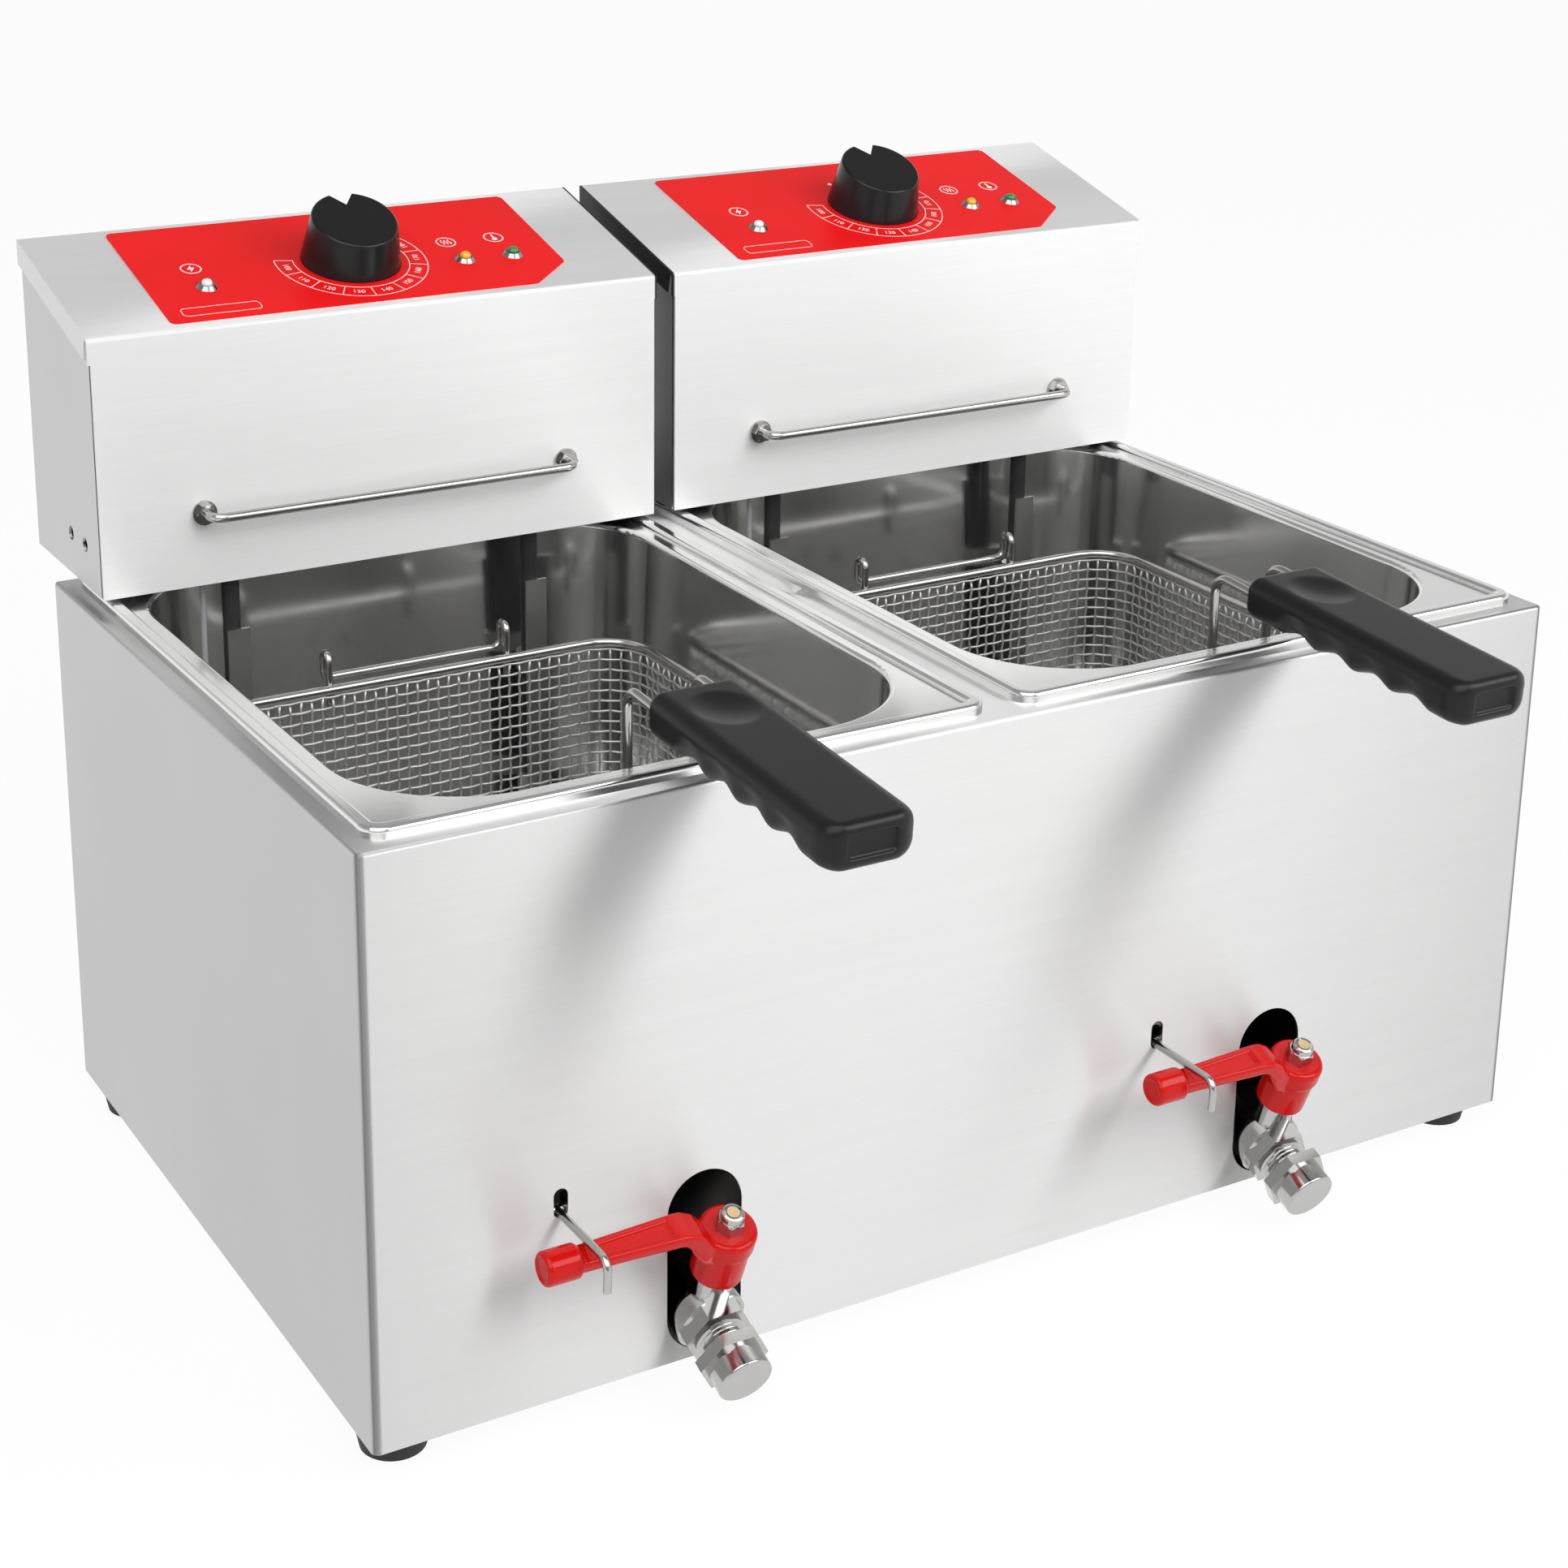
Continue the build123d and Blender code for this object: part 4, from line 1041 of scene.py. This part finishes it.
class FRYER_OT_taps(bpy.types.Operator):
    """Drain levers, valves, caps and lock hooks"""
    bl_idname = "fryer.taps"
    bl_label = "Drain taps"

    def execute(self, context):
        dress_sides(plated_metal(), "valve_body", "drain_cap", "drain_pipe")
        dress_sides(stem_brass(), "valve_ball")
        dress_sides(bright_wire(), "lock_hook")
        mesh = self.casting(settings("taps"))
        place_on_sides("lever_casting", mesh, "lever", ["lever"])
        nut = make_mesh("stem_lock_nut", *self.nut(), plated_metal(), smooth=False)
        place_on_sides("stem_lock_nut", nut, "lever", ["stem_nut"])
        return {"FINISHED"}

    def nut(self):
        """A hexagon nut with chamfered corners and a round locking collar, round the stem."""
        # Reach from the stem's axis and height over the boss, in millimetres
        bore = STEM_BORE / MM
        profile = ((5.3, 0), (5.8, 0.4), (5.8, 4.6), (5.1, 5.4), (4.7, 5.5), (4.6, 7.4), (4.2, 8.1),
                   (3.6, 8.4), (bore, 8.2), (bore, 0))
        half_flats, sixth = 5, math.pi / 3
        rings = []
        for limit, height in profile:
            ring = []
            for turn in full_turn(72):
                reach = min(limit, half_flats / math.cos(turn % sixth - sixth / 2)) * MM
                ring.append(Vector((reach * math.cos(turn), reach * math.sin(turn), BOSS_TOP + height * MM)))
            rings.append(ring)
        solid = Solid()
        solid.loops(rings, closed=True)
        solid.moved(tap_matrix())
        return solid.vertices, solid.faces

    def boss(self, solid, p):
        """The skirted boss round the stem, open below."""
        rim = 2 * MM
        skirt = p.boss - 1 * MM
        foot, waist, shoulder = 24.8 * MM, 40.6 * MM, 41.8 * MM
        inside, ceiling = 9.3 * MM, 44 * MM
        profile = [(skirt, foot), (skirt, waist), (p.boss, shoulder), (p.boss, BOSS_TOP - rim)]
        profile += [(p.boss - rim + rim * math.cos(t), BOSS_TOP - rim + rim * math.sin(t))
                    for t in quarter_turn(5)[1:]]
        profile += [(STEM_BORE, BOSS_TOP), (STEM_BORE, ceiling), (inside, ceiling), (inside, foot)]
        solid.spun(profile, UP, ACROSS, Vector((0, 0, 0)), turns=64)

    def arm(self, solid):
        """The cranked arm from the boss to the round end, with a shallow recess along its top."""
        # Place along x, height, half width, half thickness and depth of the recess, in millimetres
        spine = ((-5.5, 41, 7, 5, 0), (-10, 43.8, 7.2, 4.6, 0), (-14, 49, 7.2, 4, 0),
                 (-17.6, 53.8, 7, 3.4, 0), (-21.5, 56.6, 6.8, 2.9, 0), (-25, 57.2, 6.6, 2.75, 0),
                 (-27.2, 57.2, 6.5, 2.75, 0), (-28.2, 57.2, 6.5, 2.75, 0.9), (-61, 57.2, 5.2, 2.75, 0.9),
                 (-62, 57.2, 5.2, 2.75, 0), (-70, 57.2, 4.9, 2.75, 0))
        bevel, border, slant = 0.9, 2, 0.4
        rings = []
        for step, (x, z, wide, thick, hollow) in enumerate(spine):
            ahead = spine[min(step + 1, len(spine) - 1)]
            behind = spine[max(step - 1, 0)]
            along = Vector((ahead[0] - behind[0], 0, ahead[1] - behind[1])).normalized()
            normal = Vector((-along.z, 0, along.x))
            if normal.z < 0:
                normal = -normal
            half = [(wide - bevel, -thick), (wide, bevel - thick), (wide, thick - bevel),
                    (wide - bevel, thick), (wide - border, thick), (wide - border - slant, thick - hollow)]
            outline = half + [(-y, h) for y, h in reversed(half)]
            rings.append([(Vector((x, y, z)) + normal * h) * MM for y, h in outline])
        solid.loops(rings)

    def round_end(self, solid, p):
        """The round end of the arm, dished at its tip."""
        edge, radius, start, height = 1.8 * MM, 6.8 * MM, 65.5 * MM, 57.25 * MM
        dish_radius, dish_depth = 4.4 * MM, 0.9 * MM
        profile = [(radius - edge, start), (radius, start + edge), (radius, p.reach - edge)]
        profile += [(radius - edge + edge * math.cos(t), p.reach - edge + edge * math.sin(t))
                    for t in quarter_turn(4)[1:]]
        profile += [(dish_radius, p.reach - dish_depth)]
        solid.spun(profile, -ACROSS, UP, Vector((0, 0, height)), turns=48, closed=False)

    def casting(self, p):
        """Boss, cranked arm and round end, run together as one casting."""
        solid = Solid()
        self.boss(solid, p)
        self.arm(solid)
        self.round_end(solid, p)
        raw = make_mesh("lever_raw", solid.vertices, solid.faces, lever_paint())
        holder = bpy.data.objects.new("lever_raw", raw)
        bpy.context.scene.collection.objects.link(holder)
        remesh = holder.modifiers.new("cast", "REMESH")
        remesh.mode = "VOXEL"
        remesh.voxel_size = p.grain
        smooth = holder.modifiers.new("soften", "SMOOTH")
        smooth.factor = 0.5
        smooth.iterations = 3
        bpy.context.view_layer.update()
        cast = holder.evaluated_get(bpy.context.evaluated_depsgraph_get())
        made = bpy.data.meshes.new_from_object(cast)
        made.name = "lever_casting"
        bpy.data.objects.remove(holder)
        bpy.data.meshes.remove(raw)
        made.transform(tap_matrix())
        made.shade_smooth()
        made.materials.clear()
        made.materials.append(lever_paint())
        return made


class FRYER_OT_stage(bpy.types.Operator):
    """Pale floor, soft studio light from the sides and the camera"""
    bl_idname = "fryer.stage"
    bl_label = "Stage"

    def execute(self, context):
        scene = context.scene
        scene.view_settings.view_transform = "Standard"
        p = settings("stage")
        self.floor()
        self.world(scene)
        self.lamp("key_light", place=(-1.0, -1.4, 2.2), size=(2.6, 2.6), power=p.key)
        self.lamp("strip_light", place=(0.95, -1.3, 1.4), size=(1.5, 1.0), power=p.strip)
        camera = bpy.data.cameras.new("camera")
        camera.lens = p.lens
        camera.sensor_width = 36
        camera.shift_x = p.shift_x
        camera.shift_y = p.shift_y
        holder = bpy.data.objects.new("camera", camera)
        scene.collection.objects.link(holder)
        look = Vector((math.sin(p.heading) * math.cos(p.fall), math.cos(p.heading) * math.cos(p.fall),
                       -math.sin(p.fall)))
        holder.rotation_mode = "QUATERNION"
        holder.rotation_quaternion = look.to_track_quat("-Z", "Y") @ Quaternion((0, 0, 1), p.roll)
        holder.location = p.place
        scene.camera = holder
        return {"FINISHED"}

    def floor(self):
        half, depth = 12, 0.01
        solid = Solid()
        solid.slab([(-half, -half), (half, -half), (half, half), (-half, half)], -depth)
        mesh = make_mesh("floor", solid.vertices, solid.faces, self.floor_finish(), smooth=False)
        obj = bpy.data.objects.new("floor", mesh)
        bpy.context.scene.collection.objects.link(obj)

    def seen(self, tree):
        """One for what the camera, a reflection or glass sees."""
        path = tree.nodes.new("ShaderNodeLightPath")
        total = path.outputs["Is Camera Ray"]
        for name in ("Is Glossy Ray", "Is Transmission Ray"):
            total = math_node(tree, "MAXIMUM", total, path.outputs[name])
        return total

    def floor_finish(self):
        glow_share = 0.94
        material, tree, shader = begin("studio_floor", Roughness=0.7)
        soft = tree.nodes.new("ShaderNodeTexNoise")
        soft.inputs["Scale"].default_value = 3
        tint(tree, shader, (0.9, 0.9, 0.9), soft.outputs["Fac"], dark=0.995, light=1.005)
        glow = tree.nodes.new("ShaderNodeEmission")
        glow.inputs["Color"].default_value = (1, 1, 1, 1)
        mix = tree.nodes.new("ShaderNodeMixShader")
        tree.links.new(math_node(tree, "MULTIPLY", self.seen(tree), glow_share), mix.inputs[0])
        tree.links.new(shader.outputs[0], mix.inputs[1])
        tree.links.new(glow.outputs[0], mix.inputs[2])
        tree.links.new(mix.outputs[0], tree.nodes["Material Output"].inputs["Surface"])
        return material

    def world(self, scene):
        """A studio that is bright all round, dim overhead and dimmer still to the front left."""
        levels = ((0, 1), (0.22, 0.9), (0.5, 0.42), (0.75, 0.3), (1, 0.4))
        front_left, dim_from, dim_to, dim_strength = (-0.45, -0.89, 0), 0.55, 0.95, 0.3
        world = bpy.data.worlds.new("studio")
        world.use_nodes = True
        tree = world.node_tree
        place = tree.nodes.new("ShaderNodeTexCoord").outputs["Generated"]
        split = tree.nodes.new("ShaderNodeSeparateXYZ")
        tree.links.new(place, split.inputs[0])
        ramp = tree.nodes.new("ShaderNodeValToRGB")
        stops = ramp.color_ramp.elements
        for position, level in levels[1:-1]:
            stops.new(position)
        for stop, (position, level) in zip(stops, levels):
            stop.color = (level, level, level, 1)
        tree.links.new(split.outputs["Z"], ramp.inputs["Fac"])
        back = tree.nodes["Background"]
        tree.links.new(ramp.outputs["Color"], back.inputs["Color"])
        towards = tree.nodes.new("ShaderNodeVectorMath")
        towards.operation = "DOT_PRODUCT"
        tree.links.new(place, towards.inputs[0])
        towards.inputs[1].default_value = front_left
        dim = clipped(tree, towards.outputs["Value"], dim_from, dim_to)
        tree.links.new(ranged(tree, dim, 1.0, dim_strength), back.inputs["Strength"])
        scene.world = world

    def lamp(self, name, place, size, power):
        """A soft light that faces the middle of the fryer."""
        target = Vector((0, 0, 0.2))
        light = bpy.data.lights.new(name, "AREA")
        light.shape = "RECTANGLE"
        light.size, light.size_y = size
        light.energy = power
        holder = bpy.data.objects.new(name, light)
        holder.location = place
        holder.rotation_mode = "QUATERNION"
        holder.rotation_quaternion = (target - Vector(place)).to_track_quat("-Z", "Y")
        bpy.context.scene.collection.objects.link(holder)


OPERATORS = (FRYER_OT_cabinet, FRYER_OT_heaters, FRYER_OT_baskets, FRYER_OT_grips, FRYER_OT_controls,
             FRYER_OT_taps, FRYER_OT_stage)


class FRYER_PT_panel(bpy.types.Panel):
    """Buttons for each group of pieces, in the order they are made"""
    bl_idname = "FRYER_PT_panel"
    bl_label = "Twin tank fryer"
    bl_space_type = "VIEW_3D"
    bl_region_type = "UI"
    bl_category = "Fryer"

    def draw(self, context):
        for operator in OPERATORS:
            self.layout.operator(operator.bl_idname)
        for name in GROUPS:
            group = getattr(context.scene, name)
            box = self.layout.box()
            box.label(text=name.replace("_", " ").capitalize())
            for key in group.__annotations__:
                box.prop(group, key)


CLASSES = (*GROUPS.values(), *OPERATORS, FRYER_PT_panel)


def register():
    for cls in CLASSES:
        bpy.utils.register_class(cls)
    for name, group in GROUPS.items():
        setattr(bpy.types.Scene, name, PointerProperty(type=group))


def unregister():
    for name in GROUPS:
        delattr(bpy.types.Scene, name)
    for cls in reversed(CLASSES):
        bpy.utils.unregister_class(cls)


def main():
    register()
    for operator in OPERATORS:
        area, action = operator.bl_idname.split(".")
        getattr(getattr(bpy.ops, area), action)()


if __name__ == "__main__":
    main()
